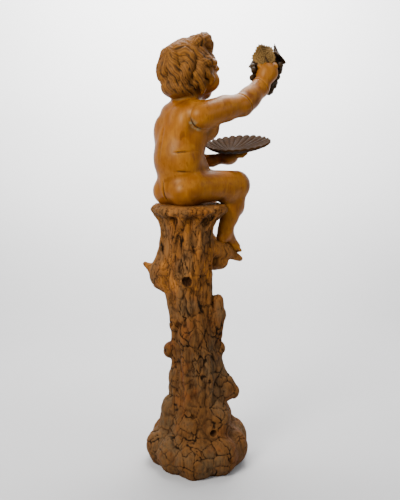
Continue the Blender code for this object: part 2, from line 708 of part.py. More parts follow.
# Where each leaf starts, which way it points, which way it faces and its length
LEAVES = (
    ("leaf_over_fist", (-21.8, -49.2, 85.2), (0.30, 0.36, 0.86), (-0.77, 0.64, 0.10), 0.066),
    ("leaf_outer", (-22.0, -63.6, 86.0), (0.28, 0.30, 0.90), (-0.50, -0.80, 0.30), 0.068),
    ("leaf_inner", (-16.0, -48.6, 88.0), (0.66, 0.45, -0.60), (-0.20, 0.90, 0.40), 0.042),
    ("leaf_front", (-13.6, -62.8, 87.9), (0.50, -0.30, -0.80), (0.60, -0.75, 0.30), 0.066),
)


def grape_clay():
    """Grapes packed round the stalk in a cone, and the stalk through the fist."""
    clay = Figure()
    top, foot = BUNCH_TOP, BUNCH_FOOT
    clay.limb(top, foot.lerp(top, 0.2), 6.4, 1.4, melt=0.5)
    clay.strand([Vector(RIGHT_FIST) + HAND_THICKNESS * 3.5, top + Vector((0, 0, 2))], (1.4, 2.0), melt=0.5)
    crown = top + Vector((0, 0, 2.4))
    for _, place, points, _, length in LEAVES:
        base = Vector(place)
        tip = base + Vector(points).normalized() * 0.35 * length / UNIT
        bow = crown.lerp(base, 0.5) + Vector((0, 0, 1.6))
        clay.strand([top, bow, base, tip], (1.5, 1.0, 0.8, 0.55), melt=0.3)
    grape = GRAPE_RADIUS / UNIT
    for i in range(GRAPES):
        share = i / (GRAPES - 1)
        turn = i * GOLDEN_TURN
        out = (9.2 - 8.0 * share**1.3) * (0.92 + 0.08 * math.sin(5 * i))
        middle = top.lerp(foot, share) + Vector((math.cos(turn) * out, math.sin(turn) * out, 0))
        clay.egg(middle, (grape, grape, 1.12 * grape), melt=0.1)
    return clay


def vine_leaf(name, place, points, faces, length):
    """A lobed leaf that curls at its edges. It points one way and faces another."""
    shape = bmesh.new()
    disc = bmesh.ops.create_circle(shape, cap_ends=False, segments=15, radius=0.5)
    grown = bmesh.ops.extrude_edge_only(shape, edges=shape.edges[:])["geom"]
    outer = [v for v in grown if isinstance(v, bmesh.types.BMVert)]
    bmesh.ops.scale(shape, vec=(2, 2, 1), verts=outer)
    bmesh.ops.contextual_create(shape, geom=disc["verts"])
    for vertex in shape.verts:
        angle = math.atan2(vertex.co.x, vertex.co.y)
        lobe = 0.70 + 0.30 * abs(math.cos(2.5 * angle)) - 0.20 * (abs(angle) > 2.9)
        reach = vertex.co.xy.length * (lobe if vertex.co.xy.length > 0.6 else 0.85)
        out = vertex.co.xy.normalized() * reach * length * 0.56
        curl = 0.10 * math.cos(3 * angle) - 0.20 * math.sin(angle) ** 2 - 0.10 * math.cos(angle)
        vertex.co = Vector((out.x, out.y + 0.40 * length, length * reach**2 * curl))
    bmesh.ops.recalc_face_normals(shape, faces=shape.faces)
    leaf = mesh_object(name, shape)
    wall = leaf.modifiers.new("wall", "SOLIDIFY")
    wall.thickness = LEAF_WALL
    wall.offset = 0
    ahead = Vector(points).normalized()
    across = ahead.cross(Vector(faces)).normalized()
    turn = Matrix((across, ahead, across.cross(ahead))).transposed().to_4x4()
    leaf.matrix_world = Matrix.Translation(body_place(place)) @ turn
    return as_cutter(leaf)


def grape_bunch(arm):
    bunch = thinned(modelled("grape_bunch", grape_clay(), voxel=0.0034), GRAPE_TRIANGLES)
    for name, *pose in LEAVES:
        join = bunch.modifiers.new(name, "BOOLEAN")
        join.operation = "UNION"
        join.use_self = True
        join.object = vine_leaf(name, *pose)
    cut_by(bunch, smooth_clearance_of(arm, 12 * GAP), "room_for_the_fist").use_self = True
    return bunch


def main():
    clear_scene()
    wood = (0.42, 0.20, 0.06)
    bark = (0.33, 0.17, 0.07)

    trunk = thinned(modelled("trunk_pedestal", trunk_clay(), voxel=0.0065), TRUNK_TRIANGLES)
    reach = 2 * BASE_RADIUS
    below = block_cutter("below_floor", (-reach, -reach, -reach), (reach, reach, 0))
    above = block_cutter("above_seat", (-reach, -reach, TRUNK_HEIGHT), (reach, reach, TRUNK_HEIGHT + reach))
    cut_by(trunk, below, "flat_underside")
    cut_by(trunk, above, "flat_seat")

    arm = thinned(modelled("right_arm", right_arm_clay()), ARM_TRIANGLES)
    dish = shell_dish()
    place_dish(dish)

    cupid = thinned(modelled("cupid", figure_clay()), FIGURE_TRIANGLES, body_place((0, 0, 66)).z)
    arm_clearance = clearance_of(arm)
    dish_clearance = clearance_of(dish)
    dish_clearance.matrix_world = dish.matrix_basis
    cut_by(cupid, clearance_of(trunk), "seated_on_the_trunk")
    cut_by(cupid, arm_clearance, "shoulder_joint")
    cut_by(cupid, dish_clearance, "palm_under_the_dish")

    bunch = grape_bunch(arm)

    finish(trunk, bark, 0.75)
    finish(cupid, wood, 0.42)
    finish(arm, wood, 0.42)
    finish(dish, (0.23, 0.12, 0.05), 0.55)
    finish(bunch, (0.09, 0.06, 0.04), 0.6)


main()
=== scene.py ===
"""The looks of a seated cupid of carved wood on a tree trunk pedestal.

Metres, +Z up, the cupid faces -Y. The sections follow the statue as it is put together: trunk, figure,
right arm, shell dish, grapes, and then the studio round it.
"""

import math

import bmesh
import bpy
import numpy as np
from mathutils import Euler, Matrix, Vector, noise


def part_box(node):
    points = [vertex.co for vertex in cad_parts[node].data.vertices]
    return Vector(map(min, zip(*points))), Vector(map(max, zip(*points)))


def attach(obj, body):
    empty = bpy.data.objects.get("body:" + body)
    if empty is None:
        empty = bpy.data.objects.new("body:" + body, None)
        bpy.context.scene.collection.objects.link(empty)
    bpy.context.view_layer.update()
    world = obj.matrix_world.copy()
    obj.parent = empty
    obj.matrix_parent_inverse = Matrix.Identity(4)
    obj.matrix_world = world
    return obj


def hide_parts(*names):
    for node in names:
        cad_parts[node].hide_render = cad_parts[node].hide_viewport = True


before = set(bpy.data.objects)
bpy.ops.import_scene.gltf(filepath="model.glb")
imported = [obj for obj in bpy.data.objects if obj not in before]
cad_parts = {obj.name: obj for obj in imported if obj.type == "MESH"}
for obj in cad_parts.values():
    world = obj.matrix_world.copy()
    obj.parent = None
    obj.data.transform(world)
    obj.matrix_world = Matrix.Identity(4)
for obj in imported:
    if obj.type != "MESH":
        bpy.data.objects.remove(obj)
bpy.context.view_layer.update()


# The trunk pedestal.
# One log section carved as a gnarled trunk: cracked bark plates, sawn stubs, knot holes and a broken
# branch that carries the feet. It stands on its sawn underside, and its top is the seat.

SEAT_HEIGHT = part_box("trunk_pedestal")[1][2]
TRUNK_RADIUS = 0.084
SEAT_RADIUS = 0.119
SEAT_THICKNESS = 0.034
BASE_RADIUS = 0.168
BASE_HEIGHT = 0.20
KNOT_HOLE_RADIUS = 0.019
KNOT_HOLE_DEPTH = 0.016
LEAN_X = 0.0225
LEAN_Y = 0.0268
BARK_VOXEL = 0.0029
PLATE_WIDTH = 0.042
BARK_SEED = 3

FIGURE_HEIGHT = 0.52
UNIT = FIGURE_HEIGHT / 100
SEAT_POINT = Vector((0.030, 0.042, SEAT_HEIGHT))


def melted(a, b, width):
    """The nearer of two distances, rounded over this width where they are alike."""
    if width <= 0:
        return np.minimum(a, b)
    share = np.clip(0.5 + 0.5 * (b - a) / width, 0, 1)
    return b + (a - b) * share - width * share * (1 - share)


class Clay:
    """Lumps that melt into each other, as a carver's clay model is built up on its armature."""

    def __init__(self):
        self.lumps = []
        self.near = None

    def egg(self, centre, radii, melt=0.0, turn=(0, 0, 0), dig=False, fine=False):
        """An ellipsoid, turned by these degrees. With dig it is taken away, with fine it is low relief."""
        rotation = np.array(Euler([math.radians(a) for a in turn]).to_matrix())
        centre, radii = np.array(centre, float), np.array(radii, float)
        self.lumps.append(("egg", centre, radii, rotation, melt, dig, fine))

    def limb(self, start, end, start_radius, end_radius, melt=0.0, dig=False, fine=False):
        """A rounded cone from start to end."""
        ends = np.array([start, end], float)
        self.lumps.append(("limb", ends, start_radius, end_radius, melt, dig, fine))

    def strand(self, path, radii, melt=0.0, **cut):
        """A chain of limbs along a path, such as a lock of hair or a finger."""
        for i in range(len(path) - 1):
            self.limb(path[i], path[i + 1], radii[i], radii[i + 1], melt, **cut)

    def lump_distance(self, lump, points):
        if lump[0] == "egg":
            _, centre, radii, rotation = lump[:4]
            local = (points - centre) @ rotation
            near = np.linalg.norm(local / radii, axis=1)
            slope = np.linalg.norm(local / radii**2, axis=1) + 1e-9
            return near * (near - 1) / slope
        _, ends, start_radius, end_radius = lump[:4]
        along = ends[1] - ends[0]
        offset = points - ends[0]
        share = np.clip(offset @ along / (along @ along + 1e-12), 0, 1)
        radius = start_radius + (end_radius - start_radius) * share
        return np.linalg.norm(offset - share[:, None] * along, axis=1) - radius

    def settle(self, points, margin=0.016):
        """Notes which points each lump can touch, so that the rest are skipped from here on."""
        self.near = []
        for lump in self.lumps:
            if lump[0] == "egg":
                low, high = lump[1] - lump[2].max(), lump[1] + lump[2].max()
            else:
                radius = max(lump[2:4])
                low, high = lump[1].min(axis=0) - radius, lump[1].max(axis=0) + radius
            room = margin + lump[4]
            inside = np.all((points > low - room) & (points < high + room), axis=1)
            self.near.append(np.flatnonzero(inside))

    def distance(self, points):
        """How far each point is outside the clay; below zero inside it."""
        found = np.full(len(points), 0.05)
        everywhere = np.arange(len(points))
        for i, lump in enumerate(self.lumps):
            near = everywhere if self.near is None else self.near[i]
            if len(near) == 0:
                continue
            away = self.lump_distance(lump, points[near])
            melt, dig = lump[4:6]
            if dig:
                found[near] = -melted(-found[near], away, melt)
            else:
                found[near] = melted(found[near], away, melt)
        return found

    def rough(self):
        """A mesh of the larger lumps, which only overlap and aren't melted yet."""
        shape = bmesh.new()
        for lump in self.lumps:
            if lump[5] or lump[6]:
                continue
            if lump[0] == "egg":
                _, centre, radii, rotation = lump[:4]
                place = Matrix.Translation(Vector(centre)) @ Matrix(rotation).to_4x4()
                place = place @ Matrix.Diagonal((*radii, 1))
                bmesh.ops.create_icosphere(shape, subdivisions=3, radius=1, matrix=place)
                continue
            _, ends, start_radius, end_radius = lump[:4]
            for end, radius in zip(ends, (start_radius, end_radius)):
                place = Matrix.Translation(Vector(end))
                bmesh.ops.create_icosphere(shape, subdivisions=2, radius=radius, matrix=place)
            along = Vector(ends[1] - ends[0])
            turn = along.to_track_quat("Z", "Y").to_matrix().to_4x4()
            place = Matrix.Translation(Vector(ends.mean(axis=0))) @ turn
            bmesh.ops.create_cone(
                shape, cap_ends=True, segments=16, depth=along.length, matrix=place,
                radius1=start_radius, radius2=end_radius,
            )
        return shape


def mesh_piece(name, shape):
    """A scene object that holds this bmesh."""
    mesh = bpy.data.meshes.new(name)
    shape.to_mesh(mesh)
    shape.free()
    piece = bpy.data.objects.new(name, mesh)
    bpy.context.scene.collection.objects.link(piece)
    return piece


def made_plain(piece):
    """The piece's mesh with its modifiers worked in, which are then taken off."""
    graph = bpy.context.evaluated_depsgraph_get()
    mesh = bpy.data.meshes.new_from_object(piece.evaluated_get(graph))
    piece.modifiers.clear()
    return mesh


def floats_of(items, field, width=3):
    values = np.empty(len(items) * width)
    items.foreach_get(field, values)
    return values.reshape(-1, width)


class Skin:
    """The points of a mesh, with what is needed to press and carve them."""

    def __init__(self, mesh):
        self.mesh = mesh
        self.points = floats_of(mesh.vertices, "co")
        edges = np.empty(len(mesh.edges) * 2, int)
        mesh.edges.foreach_get("vertices", edges)
        self.edges = edges.reshape(-1, 2)
        self.links = np.maximum(np.bincount(edges, minlength=len(self.points)), 1)[:, None]
        self.normals = floats_of(mesh.vertex_normals, "vector")

    def mean_of_neighbours(self, values):
        total = np.zeros_like(values)
        for axis in range(values.shape[1]):
            weights = values[self.edges[:, ::-1], axis].ravel()
            total[:, axis] = np.bincount(self.edges.ravel(), weights=weights, minlength=len(values))
        return total / self.links

    def write(self):
        self.mesh.vertices.foreach_set("co", self.points.astype(np.float32).ravel())
        self.mesh.update()
        self.normals = floats_of(self.mesh.vertex_normals, "vector")

    def raise_by(self, heights):
        self.points += heights[:, None] * self.normals
        self.write()

    def note(self, name, values):
        """Keeps a value from 0 to 1 for each vertex, for the material to read."""
        attribute = self.mesh.attributes.new(name, "FLOAT", "POINT")
        attribute.data.foreach_set("value", np.clip(values, 0, 1).astype(np.float32))

    def note_hollows(self, fine_depth, broad_depth, broad_rounds=40):
        """Notes how deep each point lies below the skin around it, and how much it stands out."""
        smooth = self.points.copy()
        depths = []
        for rounds in (5, broad_rounds):
            for _ in range(rounds):
                smooth = self.mean_of_neighbours(smooth)
            depths.append(((smooth - self.points) * self.normals).sum(axis=1))
        self.note("hollow", depths[0] / fine_depth)
        self.note("recess", depths[1] / broad_depth)
        self.note("worn", -depths[0] / fine_depth)


MOST_TRIANGLES = 190000
PRESSINGS = 5
DIGGINGS = 16


def modelled(name, clay, voxel):
    """The clay as one closed skin: its rough mesh is fused, then each vertex is pressed onto the clay.

    Where the clay is dug away the vertices first sink straight in. Flat stretches lose triangles last.
    """
    piece = mesh_piece(name, clay.rough())
    fuse = piece.modifiers.new("fuse", "REMESH")
    fuse.mode = "VOXEL"
    fuse.voxel_size = voxel
    piece.data = made_plain(piece)

    skin = Skin(piece.data)
    clay.settle(skin.points)
    for _ in range(DIGGINGS if any(lump[5] for lump in clay.lumps) else 0):
        proud = clay.distance(skin.points)
        proud[proud < 0.4 * voxel] = 0
        skin.points -= np.minimum(proud, voxel)[:, None] * skin.normals
    reach = voxel * 0.05
    for step in range(PRESSINGS):
        if step < PRESSINGS - 2:
            skin.points += 0.5 * (skin.mean_of_neighbours(skin.points) - skin.points)
        here = clay.distance(skin.points)
        slope = [clay.distance(skin.points + reach * axis) - here for axis in np.eye(3)]
        slope = np.stack(slope, axis=1) / reach
        steep = np.maximum((slope**2).sum(axis=1), 0.2)
        skin.points -= np.clip(here / steep, -2 * voxel, 2 * voxel)[:, None] * slope
    clay.near = None
    skin.write()
    triangles = sum(len(face.vertices) - 2 for face in piece.data.polygons)
    if triangles > MOST_TRIANGLES:
        piece.modifiers.new("thin", "DECIMATE").ratio = MOST_TRIANGLES / triangles
        piece.data = made_plain(piece)
    return piece, Skin(piece.data)


UP = Vector((0, 0, 1))


def trunk_axis(height):
    """The middle of the trunk at this height: upright at the foot, leaning under the seat."""
    share = np.clip((height / SEAT_HEIGHT - 0.35) / 0.40, 0, 1)
    lean = share * share * (3 - 2 * share)
    return Vector((LEAN_X * lean, LEAN_Y * lean, height))


def compass(angle):
    """A level direction: 0 degrees is the front and 90 degrees the cupid's right."""
    turn = math.radians(angle)
    return Vector((-math.sin(turn), -math.cos(turn), 0))


def on_trunk(angle, height, out):
    """A place beside the trunk's axis, this far out."""
    return trunk_axis(height) + compass(angle) * out


def body_place(place):
    """A place on the figure, in hundredths of its height from the middle of its seat."""
    return SEAT_POINT + Vector(place) * UNIT


COLUMN = (
    (0.10, 1.20), (0.24, 1.06), (0.30, 0.99), (0.36, 0.97), (0.40, 0.91), (0.48, 0.87), (0.53, 0.81),
    (0.59, 0.79), (0.65, 0.82), (0.70, 0.89), (0.75, 0.93), (0.80, 0.96), (0.88, 0.95), (0.95, 0.97),
)
KNOT_HOLES = ((130, 0.625, 1.0), (104, 0.134, 0.66), (10, 0.56, 0.8), (285, 0.30, 0.9), (195, 0.475, 0.7))
BOSS_KNOT = (157, 0.105, 0.025)


def bole(clay):
    """The bole, thick under the seat and above the base and slimmer between, with upright ridges."""
    shares, swells = zip(*COLUMN)
    radii = [0.95 * swell * TRUNK_RADIUS for swell in swells]
    clay.strand([trunk_axis(share * SEAT_HEIGHT) for share in shares], radii, melt=0.004)
    for i in range(11):
        angle = i * 360 / 11 + 9 * math.sin(2.4 * i)
        low, high = 0.24 + 0.05 * math.sin(3.1 * i), 0.94
        ridge = []
        for k in range(8):
            share = low + (high - low) * k / 7
            out = 0.89 * np.interp(share, shares, swells) * TRUNK_RADIUS
            ridge.append(on_trunk(angle + 6 * math.sin(1.3 * k + i), share * SEAT_HEIGHT, out))
        clay.strand(ridge, [0.155 * TRUNK_RADIUS] * 8, melt=0.006)


def base_mound(clay):
    """The spreading foot: a ring of root lumps round a low cone."""
    top, foot = (0, 0, BASE_HEIGHT), (0, 0, 0.16 * BASE_HEIGHT)
    clay.limb(foot, top, 0.80 * BASE_RADIUS, 0.46 * BASE_RADIUS, melt=0.02)
    for i in range(9):
        size = 1 + 0.10 * math.sin(2.1 * i + 2.1)
        radii = (0.36 * BASE_RADIUS * size, 0.36 * BASE_RADIUS * size, 0.34 * BASE_HEIGHT * size)
        clay.egg(on_trunk(i * 40 + 14, 0.27 * BASE_HEIGHT, 0.67 * BASE_RADIUS), radii, melt=0.022)
    for i in range(5):
        high = BASE_HEIGHT * (0.70 + 0.10 * math.sin(1.9 * i))
        clay.egg(on_trunk(i * 72 + 8, high, 0.48 * BASE_RADIUS), (0.046, 0.046, 0.056), melt=0.024)


def seat_flare(clay):
    """The top opens out like a cut stump: a thick round rim over a short flare."""
    middle = trunk_axis(SEAT_HEIGHT) + compass(40) * 0.0055
    rim = middle - 0.45 * SEAT_THICKNESS * UP
    clay.egg(rim, (SEAT_RADIUS, SEAT_RADIUS, 0.85 * SEAT_THICKNESS), melt=0.014)
    for i in range(11):
        angle = i * 360 / 11 + 10
        size = 1 + 0.12 * math.sin(2.7 * i)
        foot = on_trunk(angle + 6, SEAT_HEIGHT - 0.085, 0.80 * TRUNK_RADIUS)
        lip = middle + compass(angle) * (SEAT_RADIUS - 0.018 * size)
        lip -= 0.35 * SEAT_THICKNESS * UP
        clay.limb(foot, lip, 0.008, 0.016 * size, melt=0.010)


def burls_and_stubs(clay):
    """Branch collars, the sawn stub with its upright end, the snag and the side knots.

    Each has one place for a round lump or two for a length of branch, given as on_trunk takes them.
    """
    for places, radii, melt in (
        (((222, 0.634, 0.072),), (0.049, 0.049, 0.056), 0.022),
        (((223, 0.624, 0.092),), (0.026, 0.026, 0.034), 0.012),
        (((226, 0.632, 0.085), (228, 0.664, 0.138)), (0.027, 0.008), 0.014),
        (((224, 0.80, 0.062), (224, 0.735, 0.068)), (0.016, 0.018), 0.010),
        (((224, 0.735, 0.068), (222, 0.665, 0.084)), (0.018, 0.026), 0.010),
        (((40, 0.43, 0.058), (40, 0.500, 0.088)), (0.030, 0.026), 0.014),
        (((40, 0.500, 0.088), (40, 0.549, 0.092)), (0.024, 0.019), 0.008),
        (((222, 0.379, 0.085),), (0.024, 0.024, 0.026), 0.010),
        (((42, 0.384, 0.070),), (0.023, 0.023, 0.026), 0.012),
        (((222, 0.275, 0.062),), (0.034, 0.034, 0.075), 0.020),
        (((218, 0.180, 0.088),), (0.036, 0.036, 0.044), 0.020),
        (((40, 0.330, 0.046), (42, 0.262, 0.086)), (0.030, 0.034), 0.016),
        (((42, 0.235, 0.068), (42, 0.240, 0.110)), (0.040, 0.026), 0.014),
        (((300, 0.45, 0.055), (305, 0.50, 0.100)), (0.028, 0.019), 0.014),
        (((335, 0.30, 0.076),), (0.026, 0.026, 0.034), 0.012),
        (((160, 0.44, 0.066),), (0.022, 0.022, 0.032), 0.012),
    ):
        ends = [on_trunk(*place) for place in places]
        if len(ends) == 1:
            clay.egg(ends[0], radii, melt)
        else:
            clay.limb(*ends, *radii, melt)


def foot_ledge(clay):
    """The broken branch in front that carries both feet, falling away to its tip."""
    for across, length in ((-11.0, 1.0), (10.5, 0.94)):
        root = body_place((across * 0.8, -17, -27.5))
        knee = body_place((across, -25, -30.0))
        tip = body_place((across * 0.92, -25 - 14.4 * length, -30.0 - 6.6 * length))
        clay.limb(root, knee, 0.030, 0.026, melt=0.012)
        clay.limb(knee, tip, 0.024, 0.011, melt=0.012)
    clay.egg(body_place((0, -24, -37)), (0.072, 0.040, 0.034), melt=0.016, turn=(24, 0, 0))


def surface_reach(clay, angle, height):
    """How far out the clay's surface is from the trunk's axis."""
    reaches = np.linspace(0.03, 0.25, 221)
    line = np.array([on_trunk(angle, height, out) for out in reaches])
    inside = clay.distance(line) < 0
    return float(reaches[inside].max())


def knot_holes(clay):
    """Round scars of lost branches: swollen rings with a hollow in them, and one closed boss."""
    for angle, height, size in KNOT_HOLES:
        out = surface_reach(clay, angle, height)
        radius = KNOT_HOLE_RADIUS * size
        ring = on_trunk(angle, height, out - 0.8 * radius)
        clay.egg(ring, (1.55 * radius, 1.55 * radius, 1.65 * radius), melt=0.008)
        mouth = on_trunk(angle, height, out + 3 * radius)
        bottom = on_trunk(angle, height, out + 1.5 * radius - KNOT_HOLE_DEPTH)
        clay.limb(mouth, bottom, 1.1 * radius, 0.85 * radius, melt=0.003, dig=True)
    angle, height, radius = BOSS_KNOT
    out = surface_reach(clay, angle, height)
    clay.egg(on_trunk(angle, height, out - 0.55 * radius), (radius, radius, 1.1 * radius), melt=0.003)


def small_hollows(clay):
    """Smaller pits and clefts between the plates of bark."""
    for angle, height, width, tall in (
        (172, 0.480, 0.010, 0.016), (208, 0.760, 0.011, 0.018), (202, 0.728, 0.007, 0.030),
        (140, 0.185, 0.008, 0.010), (60, 0.66, 0.010, 0.022), (330, 0.70, 0.010, 0.024),
        (255, 0.54, 0.009, 0.018), (20, 0.36, 0.009, 0.015), (300, 0.20, 0.010, 0.012),
    ):
        out = surface_reach(clay, angle, height)
        clay.egg(on_trunk(angle, height, out), (width, width, tall), melt=0.002, dig=True)


def smoothed_step(values, low, high):
    share = np.clip((values - low) / (high - low), 0, 1)
    return share * share * (3 - 2 * share)


def nearness(points, clay, reach):
    """1 on the clay's lumps, fading to 0 this far from them."""
    return 1 - smoothed_step(clay.distance(points), 0, reach)


def bark_cells(points):
    """For each point: how far it is from the crack between two plates, and its own plate's number."""
    rise = np.interp(points[:, 2], (0, 0.30, 0.52, 0.86), (0, 7.5, 12.2, 17.6))
    gaps = np.empty(len(points))
    plates = np.empty(len(points))
    for i, (x, y, z) in enumerate(points):
        place = Vector((x / PLATE_WIDTH, y / PLATE_WIDTH, rise[i]))
        place += 0.45 * noise.noise_vector(place * 0.8) + 0.10 * noise.noise_vector(place * 3.1)
        near, cells = noise.voronoi(place)
        gaps[i] = near[1] - near[0]
        plates[i] = noise.noise(cells[0] * 3.7)
    return gaps, plates


def noise_at(places):
    return np.array([noise.noise(Vector(place)) for place in places])


def streaks(points, across, along, seed=0.0):
    """Noise drawn out up the trunk, from -1 to 1."""
    return noise_at(points * (across, across, along) + (seed, 0, 0))


noise.seed_set(BARK_SEED)
trunk_clay = Clay()
for part in (bole, base_mound, seat_flare, burls_and_stubs, foot_ledge, knot_holes, small_hollows):
    part(trunk_clay)
trunk, trunk_skin = modelled("trunk_bark", trunk_clay, BARK_VOXEL)

CRACK_DEPTH = 0.0036
PLATE_DOME = 0.0014
PLATE_STEP = 0.0026
RIDGE_HEIGHT = 0.0030
FURROW_DEPTH = 0.0022
RAGGED_RIM = 0.0050


def carve_bark(skin):
    """Cuts the cracks between the plates; the seat, the feet's ledge and the stubs stay smoother."""
    points = skin.points
    ledge_clay, bare_clay = Clay(), Clay()
    foot_ledge(ledge_clay)
    ledge = nearness(points, ledge_clay, 0.012)
    bare_end = [on_trunk(226, 0.80, 0.078), on_trunk(226, 0.735, 0.084), on_trunk(224, 0.675, 0.10)]
    bare_clay.strand(bare_end, (0.014, 0.015, 0.018))
    bare_clay.limb(on_trunk(226, 0.640, 0.085), on_trunk(228, 0.679, 0.133), 0.028, 0.012)
    bare = nearness(points, bare_clay, 0.008)
    holes = np.zeros(len(points))
    knots = np.zeros(len(points))
    for angle, height, size in KNOT_HOLES:
        out = surface_reach(trunk_clay, angle, height)
        middle = np.array(on_trunk(angle, height, out))
        away = np.linalg.norm(points - middle, axis=1) / (KNOT_HOLE_RADIUS * size)
        knots = np.maximum(knots, 1 - smoothed_step(away, 1.5, 2.0))
        holes = np.maximum(holes, 1 - smoothed_step(away, 0.85, 1.15))
    uneven = noise_at(points * 40)
    seat = smoothed_step(points[:, 2] + 0.006 * uneven, SEAT_HEIGHT - 0.010, SEAT_HEIGHT - 0.005)
    rim = smoothed_step(points[:, 2], SEAT_HEIGHT - 0.050, SEAT_HEIGHT - 0.030) * (1 - seat)
    angle, height, radius = BOSS_KNOT
    middle = on_trunk(angle, height, surface_reach(trunk_clay, angle, height) - radius)
    boss = np.linalg.norm(points - np.array(middle), axis=1) / radius
    boss = 1 - smoothed_step(boss, 0.85, 1.05)
    holes = np.maximum(holes, 0.5 * boss)
    smooth = np.maximum.reduce([0.55 * ledge, bare, 0.15 * knots, 0.8 * boss, 0.6 * seat])

    gaps, plates = bark_cells(points)
    upper = smoothed_step(points[:, 2], 0.48, 0.66)
    shown = smoothed_step(noise_at(points * 13) + 0.12, -0.25, 0.10)
    crack = (1 - smoothed_step(gaps, 0.01, 0.08)) * (0.25 + 0.75 * shown) * (1 - 0.35 * upper)
    domed = smoothed_step(gaps, 0.0, 0.5)
    furrows = 1 - smoothed_step(np.abs(streaks(points, 60, 7)), 0.0, 0.09)
    crack = np.maximum(crack, furrows * (0.30 + 0.70 * upper)) * (1 - smooth)
    grooves = np.abs(streaks(points, 150, 17, 5.0))
    relief = -CRACK_DEPTH * crack + (1 - smooth) * (PLATE_DOME * domed + PLATE_STEP * plates)
    ridges = RIDGE_HEIGHT * streaks(points, 30, 8, 9.0) - FURROW_DEPTH * grooves
    relief += (1 - 0.65 * smooth) * ridges
    relief += 0.0016 * uneven + RAGGED_RIM * rim * streaks(points, 42, 16, 3.0)
    skin.raise_by(relief)
    skin.note("crack", crack)
    skin.note("smooth", smooth)
    skin.note("knot", holes)
    skin.note("plate", 0.5 + plates)


def of_kind(kind, geometry):
    return [item for item in geometry if isinstance(item, kind)]


def sawn_flat(skin):
    """Saws the trunk off at the floor and at the seat."""
    shape = bmesh.new()
    shape.from_mesh(skin.mesh)
    for height, up in ((0, -1), (SEAT_HEIGHT, 1)):
        geometry = shape.verts[:] + shape.edges[:] + shape.faces[:]
        cut = bmesh.ops.bisect_plane(
            shape, geom=geometry, plane_co=(0, 0, height), plane_no=(0, 0, up), clear_outer=True
        )
        bmesh.ops.holes_fill(shape, edges=of_kind(bmesh.types.BMEdge, cut["geom_cut"]), sides=0)
    shape.to_mesh(skin.mesh)
    shape.free()


carve_bark(trunk_skin)
trunk_skin.note_hollows(0.0010, 0.0045)
sawn_flat(trunk_skin)


def new_group(name, inputs, outputs):
    """An empty shader group with these sockets, and its input and output nodes."""
    group = bpy.data.node_groups.new(name, "ShaderNodeTree")
    for socket, kind, value in inputs:
        made = group.interface.new_socket(socket, in_out="INPUT", socket_type=kind)
        made.default_value = value
    for socket, kind in outputs:
        group.interface.new_socket(socket, in_out="OUTPUT", socket_type=kind)
    return group, group.nodes.new("NodeGroupInput"), group.nodes.new("NodeGroupOutput")


def attribute_node(tree, name):
    node = tree.nodes.new("ShaderNodeAttribute")
    node.attribute_name = name
    return node.outputs["Fac"]


def math_node(tree, operation, first, second, clamp=False):
    """A Math node; each input is a socket or a number."""
    node = tree.nodes.new("ShaderNodeMath")
    node.operation = operation
    node.use_clamp = clamp
    for place, value in enumerate((first, second)):
        if isinstance(value, bpy.types.NodeSocket):
            tree.links.new(value, node.inputs[place])
        else:
            node.inputs[place].default_value = value
    return node.outputs[0]


def times(tree, first, second, clamp=False):
    return math_node(tree, "MULTIPLY", first, second, clamp)


def blended(tree, share, first, second):
    """A colour between two; each input is a socket or a value."""
    node = tree.nodes.new("ShaderNodeMix")
    node.data_type = "RGBA"
    for place, value in ((0, share), (6, first), (7, second)):
        if isinstance(value, bpy.types.NodeSocket):
            tree.links.new(value, node.inputs[place])
        elif place == 0:
            node.inputs[place].default_value = value
        else:
            node.inputs[place].default_value = (*value, 1)
    return node.outputs[2]


def laid_on(tree, colour, tone, mask, strength=1):
    """Lays a tone over a colour where the mask is 1, at this strength."""
    return blended(tree, mask if strength == 1 else times(tree, mask, strength), colour, tone)


def noise_node(tree, scale, stretch=(1, 1, 1), detail=4.0, distortion=0.0):
    """Noise over the piece's own coordinates, drawn out by the stretch."""
    coordinates = tree.nodes.new("ShaderNodeTexCoord")
    mapping = tree.nodes.new("ShaderNodeMapping")
    mapping.inputs["Scale"].default_value = stretch
    tree.links.new(coordinates.outputs["Object"], mapping.inputs["Vector"])
    node = tree.nodes.new("ShaderNodeTexNoise")
    node.inputs["Scale"].default_value = scale
    node.inputs["Detail"].default_value = detail
    node.inputs["Distortion"].default_value = distortion
    tree.links.new(mapping.outputs["Vector"], node.inputs["Vector"])
    return node.outputs["Fac"]


def ramp(tree, value, low, high):
    """Stretches the part between low and high to the whole range from 0 to 1."""
    node = tree.nodes.new("ShaderNodeMapRange")
    node.interpolation_type = "SMOOTHSTEP"
    node.inputs["From Min"].default_value = low
    node.inputs["From Max"].default_value = high
    tree.links.new(value, node.inputs["Value"])
    return node.outputs["Result"]


WARM_SHINE = (1.0, 0.74, 0.42, 1.0)


def new_material(name, roughness, shine=0.2):
    material = bpy.data.materials.new(name)
    material.use_nodes = True
    shader = material.node_tree.nodes["Principled BSDF"]
    shader.inputs["Roughness"].default_value = roughness
    shader.inputs["Specular IOR Level"].default_value = shine
    shader.inputs["Specular Tint"].default_value = WARM_SHINE
    return material, material.node_tree, shader


def bump_from(tree, shader, height, distance):
    bump = tree.nodes.new("ShaderNodeBump")
    bump.inputs["Distance"].default_value = distance
    bump.inputs["Strength"].default_value = 1.0
    tree.links.new(height, bump.inputs["Height"])
    tree.links.new(bump.outputs["Normal"], shader.inputs["Normal"])


BARK_LIGHT = (0.310, 0.108, 0.016)
BARK_LOW = (0.078, 0.034, 0.011)
BARK_RUST = (0.130, 0.030, 0.005)
BARK_DARK_AND_PAINTED_SHADE = (0.046, 0.017, 0.005)
BARK_GREY = (0.070, 0.047, 0.024)
CRACK_DARK_AND_PAINTED_SHADE = (0.005, 0.002, 0.0008)
BARE_WOOD = (0.170, 0.066, 0.013)
KNOT_BROWN = (0.012, 0.003, 0.001)


